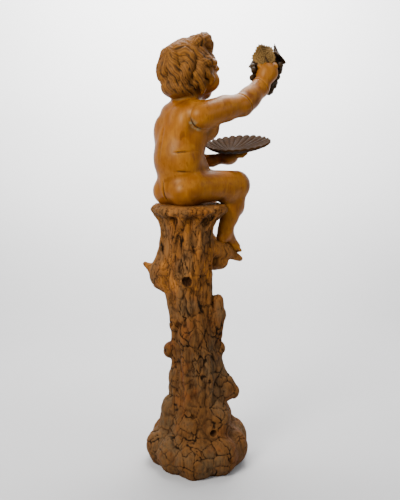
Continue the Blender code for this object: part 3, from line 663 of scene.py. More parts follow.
def thin_lines(tree, value, width):
    """1 along the lines where a noise passes its middle, 0 beside them."""
    beside = math_node(tree, "ABSOLUTE", math_node(tree, "SUBTRACT", value, 0.5), 0)
    return math_node(tree, "SUBTRACT", 1.0, ramp(tree, beside, 0.0, width))


def height_of(tree):
    """How high above the floor the surface is, in metres."""
    place = tree.nodes.new("ShaderNodeSeparateXYZ")
    coordinates = tree.nodes.new("ShaderNodeTexCoord")
    tree.links.new(coordinates.outputs["Object"], place.inputs["Vector"])
    return place.outputs["Z"]


def bark_material():
    """Orange brown above and dull below, mottled, with dark cracks, rusty patches and worn bare places;
    painted shade darkens its hollows and broad recesses.
    """
    material, tree, shader = new_material("bark_wood", 0.8, 0.12)
    colour = blended(tree, ramp(tree, height_of(tree), 0.42, 0.66), BARK_LOW, BARK_LIGHT)
    grain = noise_node(tree, 130, (1, 1, 0.16), 6)
    checks = thin_lines(tree, noise_node(tree, 42, (1, 1, 0.45), 3, 0.5), 0.022)
    checks = times(tree, checks, ramp(tree, height_of(tree), 0.16, 0.34))
    for tone, value, low, high, strength in (
        (BARK_DARK_AND_PAINTED_SHADE, noise_node(tree, 26, (1, 1, 0.6), 6, 0.8), 0.40, 0.62, 0.55),
        (BARK_DARK_AND_PAINTED_SHADE, attribute_node(tree, "plate"), 0.25, 0.80, 0.30),
        (BARK_RUST, noise_node(tree, 15, (1, 1, 0.8), 4, 1.2), 0.50, 0.66, 0.45),
        (BARK_GREY, noise_node(tree, 10, (1, 1, 0.6), 5, 0.4), 0.44, 0.62, 0.65),
        (BARK_DARK_AND_PAINTED_SHADE, grain, 0.42, 0.70, 0.55),
    ):
        colour = laid_on(tree, colour, tone, ramp(tree, value, low, high), strength)
    for tone, mask, strength in (
        (BARE_WOOD, attribute_node(tree, "smooth"), 0.60),
        (BARE_WOOD, attribute_node(tree, "worn"), 0.30),
        # painted shade: the broad recesses darkened with the dark bark tone
        (BARK_DARK_AND_PAINTED_SHADE, attribute_node(tree, "recess"), 0.60),
        (CRACK_DARK_AND_PAINTED_SHADE, checks, 0.65),
        # painted shade: the fine hollows darkened nearly black
        (CRACK_DARK_AND_PAINTED_SHADE, attribute_node(tree, "hollow"), 0.45),
        (CRACK_DARK_AND_PAINTED_SHADE, ramp(tree, attribute_node(tree, "crack"), 0.40, 1.0), 1),
        (KNOT_BROWN, attribute_node(tree, "knot"), 0.9),
    ):
        colour = laid_on(tree, colour, tone, mask, strength)
    tree.links.new(colour, shader.inputs["Base Color"])
    gloss = math_node(tree, "ADD", times(tree, grain, 0.3), 0.62)
    tree.links.new(gloss, shader.inputs["Roughness"])
    rough = math_node(tree, "ADD", grain, noise_node(tree, 420, detail=3))
    bump_from(tree, shader, math_node(tree, "SUBTRACT", rough, checks), 0.0012)
    return material


def dressed(piece, material):
    """Gives a carved piece its finish, and shades it smooth."""
    piece.data.materials.clear()
    piece.data.materials.append(material)
    piece.data.shade_smooth()


dressed(trunk, bark_material())
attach(trunk, "root")
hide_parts("trunk_pedestal")


# The cupid.
# A plump winged-child figure without wings, carved with its left arm from one block of pale hardwood,
# waxed to a honey brown. It sits on the trunk. Old dust stays in the creases, and painted shade, with some
# grime, darkens the cuts and the grooves between the locks.

HEAD_CENTRE = Vector((-1.2, -6.8, 80.0))
HEAD_TURN = Euler((math.radians(3), 0, math.radians(-7)))
LEFT_PALM = Vector((1.5, -40.0, 28.2))
HAIR_CENTRE = Vector((0, 4.1, -0.4))
HAIR_RADII = Vector((14.4, 16.4, 16.6))
CROWN = Vector((0.1, 0.62, 0.78))
PARTING = Vector((-0.12, 0.80, 0.58)).normalized()
FLESH_VOXEL = 0.0022


class Figure(Clay):
    """Clay whose places and sizes are given in hundredths of the figure's height."""

    def egg(self, centre, radii, melt=0.0, turn=(0, 0, 0), **cut):
        super().egg(body_place(centre), [r * UNIT for r in radii], melt * UNIT, turn, **cut)

    def limb(self, start, end, start_radius, end_radius, melt=0.0, **cut):
        ends = body_place(start), body_place(end)
        super().limb(*ends, start_radius * UNIT, end_radius * UNIT, melt * UNIT, **cut)

    def head_egg(self, centre, radii, melt=0.0, turn=(0, 0, 0), **cut):
        local = Euler([math.radians(a) for a in turn]).to_matrix()
        tilt = [math.degrees(a) for a in (HEAD_TURN.to_matrix() @ local).to_euler()]
        self.egg(head_place(centre), radii, melt, tilt, **cut)

    def head_strand(self, path, radii, melt=0.0, **cut):
        self.strand([head_place(p) for p in path], radii, melt, **cut)


def head_place(place):
    """A place given from the middle of the head, in the figure's hundredths."""
    return HEAD_CENTRE + HEAD_TURN.to_matrix() @ Vector(place)


def torso(clay):
    clay.egg((0, 0.5, 10.5), (16.4, 13.8, 11.5), melt=4)
    for side in (1, -1):
        clay.egg((7.9 * side, 4.0, 8.1), (9.3, 9.8, 9.4), melt=2)
    clay.egg((0, 2.4, 28), (16.3, 14.4, 19), melt=4)
    clay.egg((0, -6.5, 20), (13.0, 11.0, 12.5), melt=4)
    clay.egg((0, -0.4, 41), (17.2, 14.4, 15.5), melt=4)
    clay.egg((-0.5, -0.6, 53.4), (16.6, 11.2, 8.1), melt=4, turn=(0, 8, 0))
    for side in (1, -1):
        clay.egg((8.2 * side, -12.6, 45.0 - side), (8.8, 7.2, 8.2), melt=3)
        clay.egg((8.8 * side, 7.6, 46 - 2 * side), (6.6, 4.6, 9.0), melt=3)
    clay.egg((-11.8, -1.8, 53.0), (8.6, 9.0, 7.8), melt=4)
    clay.egg((5.0, 2.4, 55.6), (7.4, 6.2, 5.4), melt=3)
    clay.limb((-16.0, -3.4, 52.9), (-18.3, -13.0, 55.7), 7.7, 7.2, melt=5)
    clay.limb((0, -1.5, 57), (-0.8, -5, 69), 8.2, 7.8, melt=3)


def head(clay):
    clay.head_egg((0, 2.0, 3.0), (13.4, 15.0, 12.8), melt=3)
    clay.head_egg((0, -4.8, -4.5), (11.8, 11.2, 11.8), melt=3)
    clay.head_egg((0, -8.2, 4.5), (9.8, 7.2, 7.6), melt=3)
    for side in (1, -1):
        clay.head_egg((7.0 * side, -9.4, -6.2), (5.6, 5.6, 5.8), melt=2.5)
        clay.head_egg((5.2 * side, -13.2, 1.6), (4.2, 2.4, 1.8), melt=2)
        clay.head_egg((4.9 * side, -15.2, -1.6), (2.8, 2.0, 1.7), melt=1.2, dig=True)
        clay.head_egg((4.9 * side, -12.9, -1.7), (2.3, 2.0, 1.6), melt=0.4)
    clay.head_egg((0, -9.8, -13.4), (4.6, 3.8, 3.2), melt=2.5)
    clay.head_strand([(0, -14.4, 0.0), (0, -16.0, -4.2)], (1.2, 1.6), melt=1.4)
    clay.head_egg((0, -16.5, -4.8), (1.9, 1.9, 1.5), melt=1)
    for side in (1, -1):
        clay.head_egg((1.7 * side, -15.4, -5.2), (1.3, 1.4, 1.1), melt=0.8)
    for z, radius in ((-8.6, 0.95), (-10.1, 1.1)):
        lip = [(-2.6, -14.4, z), (0, -15.5, z), (2.6, -14.4, z)]
        clay.head_strand(lip, (0.4, radius, 0.4), melt=0.7)


def face_details(clay):
    """Lids, nostrils, the line of the mouth and the dimple over the chin."""
    for side in (1, -1):
        for rise, radius in ((1.35, 0.42), (-1.25, 0.32)):
            lid = []
            for i in range(7):
                turn = math.pi * i / 6
                across = 4.9 * side - 2.45 * math.cos(turn)
                lid.append((across, -14.0 - 0.75 * math.sin(turn), -1.7 + rise * math.sin(turn)))
            clay.head_strand(lid, [radius] * 7, melt=0.3, fine=True)
        clay.head_egg((0.95 * side, -17.0, -6.0), (0.5, 0.7, 0.4), melt=0.3, dig=True)
        clay.head_egg((3.0 * side, -14.9, -9.4), (0.5, 0.8, 0.5), melt=0.4, dig=True)
    mouth = [
        (-2.6, -15.2, -9.2), (-1.2, -16.4, -9.5), (0, -16.5, -9.3), (1.2, -16.4, -9.5), (2.6, -15.2, -9.2),
    ]
    clay.head_strand(mouth, (0.15, 0.28, 0.3, 0.28, 0.15), melt=0.25, dig=True)
    clay.head_egg((0, -16.2, -7.2), (0.5, 0.8, 1.0), melt=0.5, dig=True)
    clay.head_egg((0, -14.6, -11.7), (1.6, 0.9, 0.5), melt=0.6, dig=True)


def on_hair(direction, lift=0.0):
    """A place on the cap of hair, or this many hundredths above it."""
    straight = Vector(direction).normalized()
    return HAIR_CENTRE + Vector([straight[i] * (HAIR_RADII[i] + lift) for i in range(3)])


def broad_lock(clay, ways, width, lift=0.0):
    """The body of one carved lock through these directions over the cap of hair."""
    steps = 3 * (len(ways) - 1)
    path = []
    radii = []
    for i in range(steps + 1):
        share = i / steps
        span = min(int(share * (len(ways) - 1)), len(ways) - 2)
        way = Vector(ways[span]).lerp(Vector(ways[span + 1]), share * (len(ways) - 1) - span)
        path.append(on_hair(way, lift * math.sin(math.pi * share) - 0.58 * width))
        full = width * (0.6 + 0.4 * math.sin(math.pi * min(1, 0.2 + share)))
        radii.append(full if i < steps else 0.35 * width)
    clay.head_strand(path, radii, melt=0.4)


def hair_mass(clay):
    """Thick windswept hair: down to the nape all round, and forward over the brow in a high wave."""
    clay.head_egg((0, 3.4, 2.6), (12.8, 14.8, 11.6), melt=1)
    clay.head_egg((0, 7.0, -5.5), (11.8, 11.0, 10.8), melt=1.5)
    clay.head_egg((0, 8.4, -10.8), (10.6, 10.6, 7.4), melt=1.5)
    for i in range(9):
        turn = math.radians(-132 + 33 * i)
        sway = 0.16 * math.sin(2.3 * i + 1)
        out = Vector((math.sin(turn), math.cos(turn), 0))
        beside = Vector((math.cos(turn), -math.sin(turn), 0)) * sway
        drop = -0.95 if abs(turn) < 1.75 else -0.50
        upper = [
            CROWN + 0.3 * out,
            out * 0.9 + beside + 0.45 * UP,
            out - beside + Vector((0, 0.05, -0.1)),
        ]
        broad_lock(clay, upper, 4.1)
        lower = [
            out + beside + 0.25 * UP,
            out - beside + Vector((0, 0.05, -0.35)),
            out * 0.8 + Vector((0, 0.1, drop)),
        ]
        broad_lock(clay, lower, 4.0)
    for i in range(6):
        across = -0.80 + 0.32 * i
        over = [
            CROWN + Vector((across * 0.4, -0.2, 0)),
            Vector((across * 0.9, -0.35, 1.0)),
            Vector((across * 0.85 - 0.10, -0.86, 0.66)),
        ]
        broad_lock(clay, over, 2.8, 1.2)
    for wave, radii in WAVES:
        clay.head_strand(wave, radii, melt=1)
    for side in (1, -1):
        for curl, radii in CURLS:
            clay.head_strand([(x * side, y, z) for x, y, z in curl], radii, melt=0.6)


WAVES = (
    (((-9.6, 5.5, 13.0), (-8.0, 0.7, 16.1), (-6.0, -4.4, 17.4), (-4.4, -8.1, 15.0), (-3.8, -9.8, 11.3)),
     (2.0, 3.4, 4.0, 3.4, 1.8)),
    (((0, 3.5, 15.4), (0.6, -1.6, 16.8), (1.6, -6.2, 16.4), (3.6, -9.5, 13.2), (5.0, -10.5, 9.5)),
     (2.2, 3.4, 3.6, 3.0, 1.5)),
)
CURLS = (
    (((13.2, 2.0, 2.5), (13.4, -3.0, 4.4), (12.0, -7.8, 4.0), (10.8, -9.6, 1.8)),
     (2.4, 2.6, 2.2, 1.0)),
    (((13.4, 2.0, -0.5), (13.2, -3.0, -2.4), (12.4, -6.6, -5.2), (11.6, -6.4, -8.0)),
     (2.4, 2.4, 1.9, 1.0)),
    (((12.8, 5.0, -4.0), (12.4, 1.0, -7.5), (11.0, -1.6, -11.0), (9.8, -2.4, -13.4)),
     (2.4, 2.4, 1.9, 1.0)),
)


def through(points, steps):
    """Places along a smooth line through these points."""
    ends = [2 * Vector(points[0]) - Vector(points[1])] + [Vector(p) for p in points]
    ends.append(2 * ends[-1] - ends[-2])
    line = []
    for i in range(steps + 1):
        share = i / steps * (len(points) - 1)
        span = min(int(share), len(points) - 2)
        t = share - span
        a, b, c, d = ends[span : span + 4]
        bend, twist = 2 * a - 5 * b + 4 * c - d, 3 * b - a - 3 * c + d
        line.append(0.5 * (2 * b + (c - a) * t + bend * t * t + twist * t**3))
    return line


def fine_waves(clay):
    """Threads along the two waves over the brow, and along the curls at the temples."""
    bands = [(wave, radii) for wave, radii in WAVES]
    for side in (1, -1):
        bands += [([(x * side, y, z) for x, y, z in curl], radii) for curl, radii in CURLS]
    for path, radii in bands:
        middle = through(path, 12)
        for thread in range(9):
            around = 2 * math.pi * thread / 9
            line = []
            thin = []
            for i, place in enumerate(middle):
                share = i / 12
                ahead = (middle[min(i + 1, 12)] - middle[max(i - 1, 0)]).normalized()
                side = ahead.cross(UP).normalized()
                up = side.cross(ahead)
                full = np.interp(share * (len(radii) - 1), range(len(radii)), radii)
                turn = around + 1.1 * share
                out = side * math.cos(turn) + up * math.sin(turn)
                line.append(place + out * (full - 0.22))
                thin.append(0.16 + 0.17 * full)
            clay.head_strand(line, thin, melt=0.12, fine=True)


def leg(clay, side, knee, ankle, toes):
    """One bent leg, hip to toes. knee, ankle and toes are places; side is 1 on the left."""
    hip = Vector((9.4 * side, -3, 11.0))
    knee, ankle, toes = Vector(knee), Vector(ankle), Vector(toes)
    clay.limb(hip, knee + Vector((0, 2, 0.8)), 10.4, 8.2, melt=3)
    clay.egg(knee, (7.3, 7.4, 7.8), melt=2)
    clay.limb(knee + Vector((0, 0.4, -2)), ankle, 6.8, 4.9, melt=2)
    clay.egg(hip.lerp(knee, 0.72) - 2.9 * UP, (7.8, 8.5, 8.6), melt=3)
    clay.egg(knee.lerp(ankle, 0.60) + Vector((0, 0.6, 0)), (5.5, 5.9, 8.6), melt=2, turn=(-16, 0, 0))
    clay.egg(knee.lerp(ankle, 0.38) + Vector((0, -1.9, 0)), (5.6, 6.0, 9.4), melt=2, turn=(-16, 0, 0))
    heel = ankle + Vector((0, 1.9, -4.4))
    clay.egg(heel, (4.0, 4.3, 4.2), melt=2)
    ball = heel.lerp(toes, 0.66) + 1.0 * UP
    clay.limb(ankle + Vector((0, -1.0, -1.5)), ball, 4.3, 3.1, melt=2)
    clay.egg(ball, (5.0, 3.6, 2.9), melt=2, turn=(33, 0, 0))
    forward = (toes - ball).normalized()
    reach = (toes - ball).length
    for i in range(5):
        across = (2 - i) * 2.05 * side
        radius = 1.75 if i == 0 else 1.30 - 0.06 * i
        root = ball + Vector((across * -1.0, 0, -0.7))
        end = root + forward * (reach - radius - 0.75 * i)
        clay.limb(root, end, radius, radius * 0.95, melt=0.5)
        nail = end + forward * 0.35 * radius + Vector((0, 0, 0.82 * radius))
        clay.egg(nail, (0.55 * radius, 0.7 * radius, 0.35 * radius), melt=0.1, turn=(33, 0, 0), fine=True)


def left_arm(clay):
    """The left arm, lowered, with its open hand under the dish."""
    shoulder, elbow, wrist = (16.2, -4.0, 48.5), (19.2, -13.5, 26.6), (8.6, -32.0, 25.6)
    clay.egg((15.4, -3.4, 48.8), (7.2, 7.8, 7.8), melt=3)
    clay.limb(shoulder, elbow, 7.0, 6.0, melt=2)
    clay.limb(elbow, wrist, 5.9, 3.6, melt=2)
    clay.egg((15.8, -19.5, 26.4), (5.4, 7.0, 5.2), melt=2, turn=(0, 0, 30))
    palm = LEFT_PALM
    clay.limb(wrist, palm, 3.8, 3.3, melt=2)
    clay.egg(palm + Vector((-0.4, -0.2, -1.2)), (5.4, 7.4, 4.1), melt=2, turn=(-8, 8, 30))
    for i in range(4):
        root = palm + Vector((-4.2 + 2.1 * i, -2.2 - 1.1 * i, 0.4))
        middle = root + Vector((-2.4 + 0.5 * i, -3.4, 0.3))
        tip = middle + Vector((-1.1 + 0.4 * i, -2.2, 1.5))
        clay.strand([root, middle, tip], (1.7, 1.5, 1.25), melt=0.5)
    thumb = [palm + Vector(step) for step in ((2.6, 1.0, 0.8), (6.8, -2.0, 2.2), (8.6, -5.0, 4.0))]
    clay.strand(thumb, (2.0, 1.6, 1.3), melt=0.6)


def on_skin(clay, inside, towards, lift=0.0):
    """Where a straight line from inside the body comes out of the clay."""
    inside = Vector(inside)
    towards = Vector(towards).normalized()
    reaches = np.linspace(0, 32, 321)
    line = np.array([body_place(inside + towards * r) for r in reaches])
    outside = np.flatnonzero(clay.distance(line) > 0)
    return inside + towards * (reaches[outside[0]] + lift)


def crease(clay, starts, radius, depth):
    """A cut in the flesh through the places where these lines come out of the body."""
    path = [on_skin(clay, inside, towards, radius - depth) for inside, towards in starts]
    path = through(path, 3 * (len(path) - 1))
    last = len(path) - 1
    radii = [radius * (0.45 + 0.55 * math.sin(math.pi * i / last)) for i in range(last + 1)]
    clay.strand(path, radii, melt=0.5, dig=True)


def flesh_creases(clay):
    """Folds of the back and sides, the knee pits, the spine, the parting below and the navel."""
    for side in (1, -1):
        for height, rise in ((20.6, -1.2), (31.5, 1.5)):
            fold = []
            for k in range(3):
                fold.append(((0, 0, height + rise * k * 0.5), (side * (0.55 + 0.5 * k), 0.9 - 0.5 * k, 0)))
            crease(clay, fold, 0.7, 0.0)
        knee_pit = [((13 * side, -27, 8), (side * (0.4 * k - 0.4), 0.35, -1)) for k in range(3)]
        crease(clay, knee_pit, 0.6, 0.25)
    spine = [((0, 0, z), (0, 1, 0)) for z in (17, 24, 32, 40, 48, 54)]
    crease(clay, spine, 3.0, 0.22)
    parting = [((0, 2, z), (0, 1, -0.05)) for z in (3, 7, 11, 15)]
    crease(clay, parting, 1.0, 0.8)
    clay.egg(on_skin(clay, (0, -5, 20), (0, -1, -0.05)), (0.9, 1.1, 0.8), melt=0.6, dig=True)


figure_clay = Figure()
torso(figure_clay)
head(figure_clay)
hair_mass(figure_clay)
leg(figure_clay, -1, (-14.2, -33.5, 11.0), (-11.6, -25.4, -16.6), (-9.8, -39.0, -32.6))
leg(figure_clay, 1, (12.6, -32.0, 11.0), (12.0, -26.2, -16.8), (10.6, -41.0, -32.4))
left_arm(figure_clay)
flesh_creases(figure_clay)
face_details(figure_clay)
fine_waves(figure_clay)
cupid, cupid_skin = modelled("cupid_carving", figure_clay, FLESH_VOXEL)


def hair_share(points):
    """1 on the carved hair, 0 on the face and the body."""
    turn = np.array(HEAD_TURN.to_matrix())
    local = ((points - np.array(body_place(HEAD_CENTRE))) / UNIT) @ turn
    x, y, z = local.T
    out = np.linalg.norm((local - np.array(HAIR_CENTRE)) / np.array(HAIR_RADII), axis=1)
    brow = -6.5 + 0.42 * np.abs(z)
    on_head = smoothed_step(z, -17.0, -14.0) * smoothed_step(out, 0.86, 0.93)
    face = (1 - smoothed_step(y, brow - 1, brow + 1)) * (1 - smoothed_step(z, 5.0, 7.5))
    return on_head * (1 - face)


def parted(turn, count, shift, width):
    """Flat-topped locks side by side, from 0 in the narrow grooves between them to 1."""
    across = np.abs(np.sin(0.5 * count * turn + shift))
    return 1 - np.exp(-((across / width) ** 2))


LOCK_DEPTH = 0.0029
STRAND_DEPTH = 0.0016


def comb_hair(skin):
    """Cuts wavy grooves from the whorl at the crown, first between locks, then between strands."""
    share = hair_share(skin.points)
    local = ((skin.points - np.array(body_place(HEAD_CENTRE))) / UNIT) @ np.array(HEAD_TURN.to_matrix())
    out = (local - np.array(HAIR_CENTRE)) / np.array(HAIR_RADII)
    out /= np.linalg.norm(out, axis=1)[:, None]
    whorl = np.array(PARTING)
    side = np.array(PARTING.orthogonal().normalized())
    up = np.cross(whorl, side)
    down = np.arccos(np.clip(out @ whorl, -1, 1))
    turn = np.arctan2(out @ up, out @ side)
    sway = noise_at(out * 1.7)
    curl = noise_at(out * 4.5 + (7, 0, 0))
    bend = 1.5 * sway + 0.5 * curl + 0.7 * np.sin(3.1 * down + 2 * turn)
    split = smoothed_step(down + 0.4 * curl, 0.60, 0.85)
    lower = smoothed_step(down + 0.5 * sway, 1.35, 1.65)
    wide = parted(turn, 12, bend, 0.42)
    middling = parted(turn, 19, 1.4 * bend, 0.42)
    narrow = parted(turn, 27, 1.8 * bend + 1, 0.42)
    deep = 0.30 + 0.70 * smoothed_step(noise_at(out * 6), -0.25, 0.20)
    locks = 1 - deep * (1 - ((1 - split) * wide + split * (1 - lower) * middling + lower * narrow))
    strands = (1 - split) * parted(turn, 40, 3.0 * bend, 0.6)
    strands += split * parted(turn, 74, 4.4 * bend + 2, 0.6)
    relief = LOCK_DEPTH * (locks - 0.72) + STRAND_DEPTH * (strands - 0.6)
    skin.raise_by(relief * share)
    skin.note("hair", share)
    # painted shade: this mask darkens the grooves between the locks and the strands
    skin.note("groove_shade", share * np.clip(0.80 * (1 - locks) ** 1.3 + 0.42 * (1 - strands), 0, 0.85))
    comb = skin.mesh.attributes.new("comb", "FLOAT_VECTOR", "POINT")
    along = turn + 0.12 * bend
    lines = np.stack([np.cos(along), np.sin(along), 0.05 * down], axis=1)
    comb.data.foreach_set("vector", lines.astype(np.float32).ravel())


comb_hair(cupid_skin)
cupid_skin.note_hollows(0.0011, 0.0045, 60)

HONEY = (0.172, 0.053, 0.0026)
HONEY_DARK = (0.062, 0.0135, 0.0008)
HONEY_PALE = (0.270, 0.104, 0.0065)
DUST = (0.055, 0.034, 0.008)
GROOVE_DARK_AND_PAINTED_SHADE = (0.006, 0.0022, 0.0006)
HAIR_BROWN = (0.130, 0.050, 0.011)
FILLER = (0.15, 0.115, 0.055)


def waxed_wood_group():
    """Waxed old wood: broad toning, fine grain, dust in the recesses, and grime with painted shade
    darkening the cuts.
    """
    group, given, made = new_group(
        "waxed_wood",
        (
            ("Base", "NodeSocketColor", (*HONEY, 1)),
            ("Dark", "NodeSocketColor", (*HONEY_DARK, 1)),
            ("Pale", "NodeSocketColor", (*HONEY_PALE, 1)),
            ("Dust", "NodeSocketFloat", 0.6),
            ("Grime_and_painted_shade", "NodeSocketFloat", 0.8),
            ("Matt", "NodeSocketFloat", 0.42),
        ),
        (("Colour", "NodeSocketColor"), ("Roughness", "NodeSocketFloat"), ("Height", "NodeSocketFloat")),
    )
    dark, pale = given.outputs["Dark"], given.outputs["Pale"]
    broad = ramp(group, noise_node(group, 11, (1, 1, 0.7), 3), 0.38, 0.68)
    blotch = ramp(group, noise_node(group, 30, (1, 1, 0.8), 5, 0.6), 0.40, 0.66)
    flecks = ramp(group, noise_node(group, 70, (1, 1, 0.5), 3, 0.4), 0.62, 0.70)
    grain = noise_node(group, 170, (1, 1, 0.10), 6)
    recess = times(group, attribute_node(group, "recess"), given.outputs["Dust"], clamp=True)
    patchy = times(group, recess, math_node(group, "ADD", broad, 0.45), clamp=True)
    # painted shade, with some grime: the fine hollows of the cuts are darkened nearly black
    cut = times(group, attribute_node(group, "hollow"), given.outputs["Grime_and_painted_shade"], clamp=True)
    colour = given.outputs["Base"]
    for tone, mask, strength in (
        (dark, broad, 0.72),
        (pale, blotch, 0.38),
        (dark, ramp(group, grain, 0.45, 0.75), 0.32),
        (dark, flecks, 0.55),
        (pale, attribute_node(group, "worn"), 0.45),
        (DUST, patchy, 1),
        (GROOVE_DARK_AND_PAINTED_SHADE, cut, 1),
    ):
        colour = laid_on(group, colour, tone, mask, strength)
    matt = math_node(group, "ADD", times(group, patchy, 0.30), times(group, blotch, 0.12))
    matt = math_node(group, "ADD", matt, given.outputs["Matt"], clamp=True)
    height = math_node(group, "ADD", grain, times(group, blotch, 0.6))
    for socket, value in (("Colour", colour), ("Roughness", matt), ("Height", height)):
        group.links.new(value, made.inputs[socket])
    return group


WAXED_WOOD = waxed_wood_group()


def waxed(name, base, dark, pale, dust, grime_and_shade, matt, shine):
    """A finish of waxed wood with its own tones; gives the nodes that more colour can be laid on."""
    material, tree, shader = new_material(name, 0.5, shine)
    wood = tree.nodes.new("ShaderNodeGroup")
    wood.node_tree = WAXED_WOOD
    for socket, value in (
        ("Base", (*base, 1)), ("Dark", (*dark, 1)), ("Pale", (*pale, 1)),
        ("Dust", dust), ("Grime_and_painted_shade", grime_and_shade), ("Matt", matt),
    ):
        wood.inputs[socket].default_value = value
    tree.links.new(wood.outputs["Colour"], shader.inputs["Base Color"])
    tree.links.new(wood.outputs["Roughness"], shader.inputs["Roughness"])
    bump_from(tree, shader, wood.outputs["Height"], 0.0004)
    return material, tree, shader, wood


def hair_strands(tree):
    """Fine dark lines that follow the combed locks, from 0 to 1."""
    combed = tree.nodes.new("ShaderNodeAttribute")
    combed.attribute_name = "comb"
    lines = tree.nodes.new("ShaderNodeTexNoise")
    lines.inputs["Scale"].default_value = 24
    lines.inputs["Detail"].default_value = 3
    tree.links.new(combed.outputs["Vector"], lines.inputs["Vector"])
    return ramp(tree, lines.outputs["Fac"], 0.50, 0.66)


def flesh_material(name):
    """Honey brown flesh, browner hair with painted shade in the grooves between its locks, and the pale
    filler where the right arm is glued on.
    """
    material, tree, shader, wood = waxed(name, HONEY, HONEY_DARK, HONEY_PALE, 0.75, 0.55, 0.40, 0.24)
    hair = attribute_node(tree, "hair")
    filler = ramp(tree, noise_node(tree, 60), 0.40, 0.60)
    colour = wood.outputs["Colour"]
    for tone, mask, strength in (
        (HAIR_BROWN, hair, 0.55),
        (GROOVE_DARK_AND_PAINTED_SHADE, times(tree, hair, hair_strands(tree)), 0.45),
        # painted shade: the grooves between the locks darkened nearly black
        (GROOVE_DARK_AND_PAINTED_SHADE, attribute_node(tree, "groove_shade"), 1),
        (FILLER, times(tree, attribute_node(tree, "filler"), filler), 1),
        (GROOVE_DARK_AND_PAINTED_SHADE, attribute_node(tree, "seam"), 1),
    ):
        colour = laid_on(tree, colour, tone, mask, strength)
    tree.links.new(colour, shader.inputs["Base Color"])
    matt = math_node(tree, "ADD", times(tree, hair, 0.25), wood.outputs["Roughness"], clamp=True)
    tree.links.new(matt, shader.inputs["Roughness"])
    return material


def note_shoulder_joint(skin, other):
    """Notes the glue line, where the skin of the other piece comes out of this one, and its filler."""
    away = np.abs(other.distance(skin.points))
    away[np.linalg.norm(skin.points - np.array(body_place((-16.4, -2.2, 52.6))), axis=1) > 0.075] = 1
    low = np.linalg.norm(skin.points - np.array(body_place((-13.8, 4.5, 46.5))), axis=1)
    behind = 1 - smoothed_step(low, 0.022, 0.040)
    skin.note("seam", (1 - smoothed_step(away, 0.0004, 0.0022)) * (0.20 + 0.75 * behind))
    skin.note("filler", (1 - smoothed_step(away, 0.004, 0.010)) * behind)


# The right arm.
# Raised with a bunch of grapes in its fist. It is carved from its own block and glued on at the
# shoulder, where pale filler shows at the seam, and it has an old mended break at the wrist.

RIGHT_WRIST = Vector((-19.7, -46.0, 70.3))
RIGHT_FIST = Vector((-21.8, -50.6, 79.6))
HAND_WIDTH = Vector((-0.643, -0.766, 0))
HAND_THICKNESS = Vector((0.766, -0.643, 0))
ARM_VOXEL = 0.0018


def right_arm_forms(clay):
    shoulder, middle, elbow = (-17.2, -5.5, 53.6), (-19.2, -18.0, 57.2), (-20.8, -30.2, 59.6)
    clay.egg((-16.4, -2.2, 52.6), (8.2, 9.0, 8.0), melt=2)
    clay.strand([shoulder, middle, elbow], (8.2, 7.7, 6.5), melt=1.5)
    clay.limb(elbow, RIGHT_WRIST, 7.0, 5.8, melt=2)
    clay.egg((-20.9, -36.2, 63.7), (6.4, 7.7, 6.7), melt=2, turn=(-38, 0, 0))
    fist = RIGHT_FIST
    clay.limb(RIGHT_WRIST, fist, 5.5, 4.6, melt=2)
    clay.egg(fist, (6.4, 4.4, 6.2), melt=2, turn=(0, 0, 50))
    for i in range(4):
        root = fist + HAND_WIDTH * (3 * i - 4.5) + HAND_THICKNESS * -0.6
        root += (4.4 - 0.5 * abs(i - 1.5)) * UP
        bend = root + HAND_THICKNESS * 4.6 + 1.7 * UP
        tip = bend + HAND_THICKNESS * 2.0 - 4.4 * UP
        clay.strand([root, bend, tip], (1.8, 1.6, 1.35), melt=0.4)
    thumb = fist + HAND_WIDTH * -4.8 - 1.6 * UP
    bend = thumb + HAND_THICKNESS * 5.4 + HAND_WIDTH * -0.6 + 1.4 * UP
    clay.strand([thumb, bend, bend + HAND_THICKNESS * 2.2 + HAND_WIDTH * 3.6], (2.3, 1.8, 1.5), melt=0.6)


def ring_cut(clay, middle, axis, radius, width, share=1.0, start=0.0):
    """A cut round a limb, all the way or over a share of the turn."""
    axis = Vector(axis).normalized()
    side = axis.orthogonal().normalized()
    up = axis.cross(side)
    path = []
    for i in range(19):
        turn = start + 2 * math.pi * share * i / 18
        out = side * math.cos(turn) + up * math.sin(turn)
        path.append(on_skin(clay, Vector(middle), out, 0.35 * width))
    clay.strand(path, [width] * 19, melt=0.25, dig=True)


arm_clay = Figure()
right_arm_forms(arm_clay)
forearm = RIGHT_WRIST - Vector((-20.8, -30.2, 59.6))
ring_cut(arm_clay, RIGHT_WRIST, forearm, 5.4, 0.45)
ring_cut(arm_clay, Vector((-20.6, -30.4, 59.8)), Vector((0.1, -1, 0.62)), 7.0, 0.6, 0.6, 2.2)
arm, arm_skin = modelled("right_arm_carving", arm_clay, ARM_VOXEL)
arm_skin.note_hollows(0.0009, 0.0045, 60)
for unused in ("hair", "groove_shade"):
    arm_skin.note(unused, np.zeros(len(arm_skin.points)))
note_shoulder_joint(arm_skin, figure_clay)
note_shoulder_joint(cupid_skin, arm_clay)

for piece, node in ((cupid, "cupid"), (arm, "right_arm")):
    dressed(piece, flesh_material(node + "_finish"))
    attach(piece, "root")
    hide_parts(node)


# The shell dish.
# A thin scallop shell carved from darker wood, with ribs that fan out to a wavy edge. It lies in the
# open left hand. Dust has gathered between its ribs, and painted shade darkens the cuts between them.

DISH_CENTRE = (-3.0, -43.9, 36.6)
DISH_TURN = Euler((math.radians(-10.7), math.radians(-7.2), math.radians(-4)))
DISH_RADIUS = 0.106
DISH_DEPTH = 0.022
DISH_WALL = 0.006
DISH_RIBS = 26
DISH_RINGS = 22
RIB_HEIGHT = 0.0022
HINGE_SHIFT = 0.34
DISH_BROWN = (0.017, 0.0055, 0.0008)
DISH_DARK = (0.008, 0.003, 0.0006)
DISH_PALE = (0.038, 0.014, 0.0022)


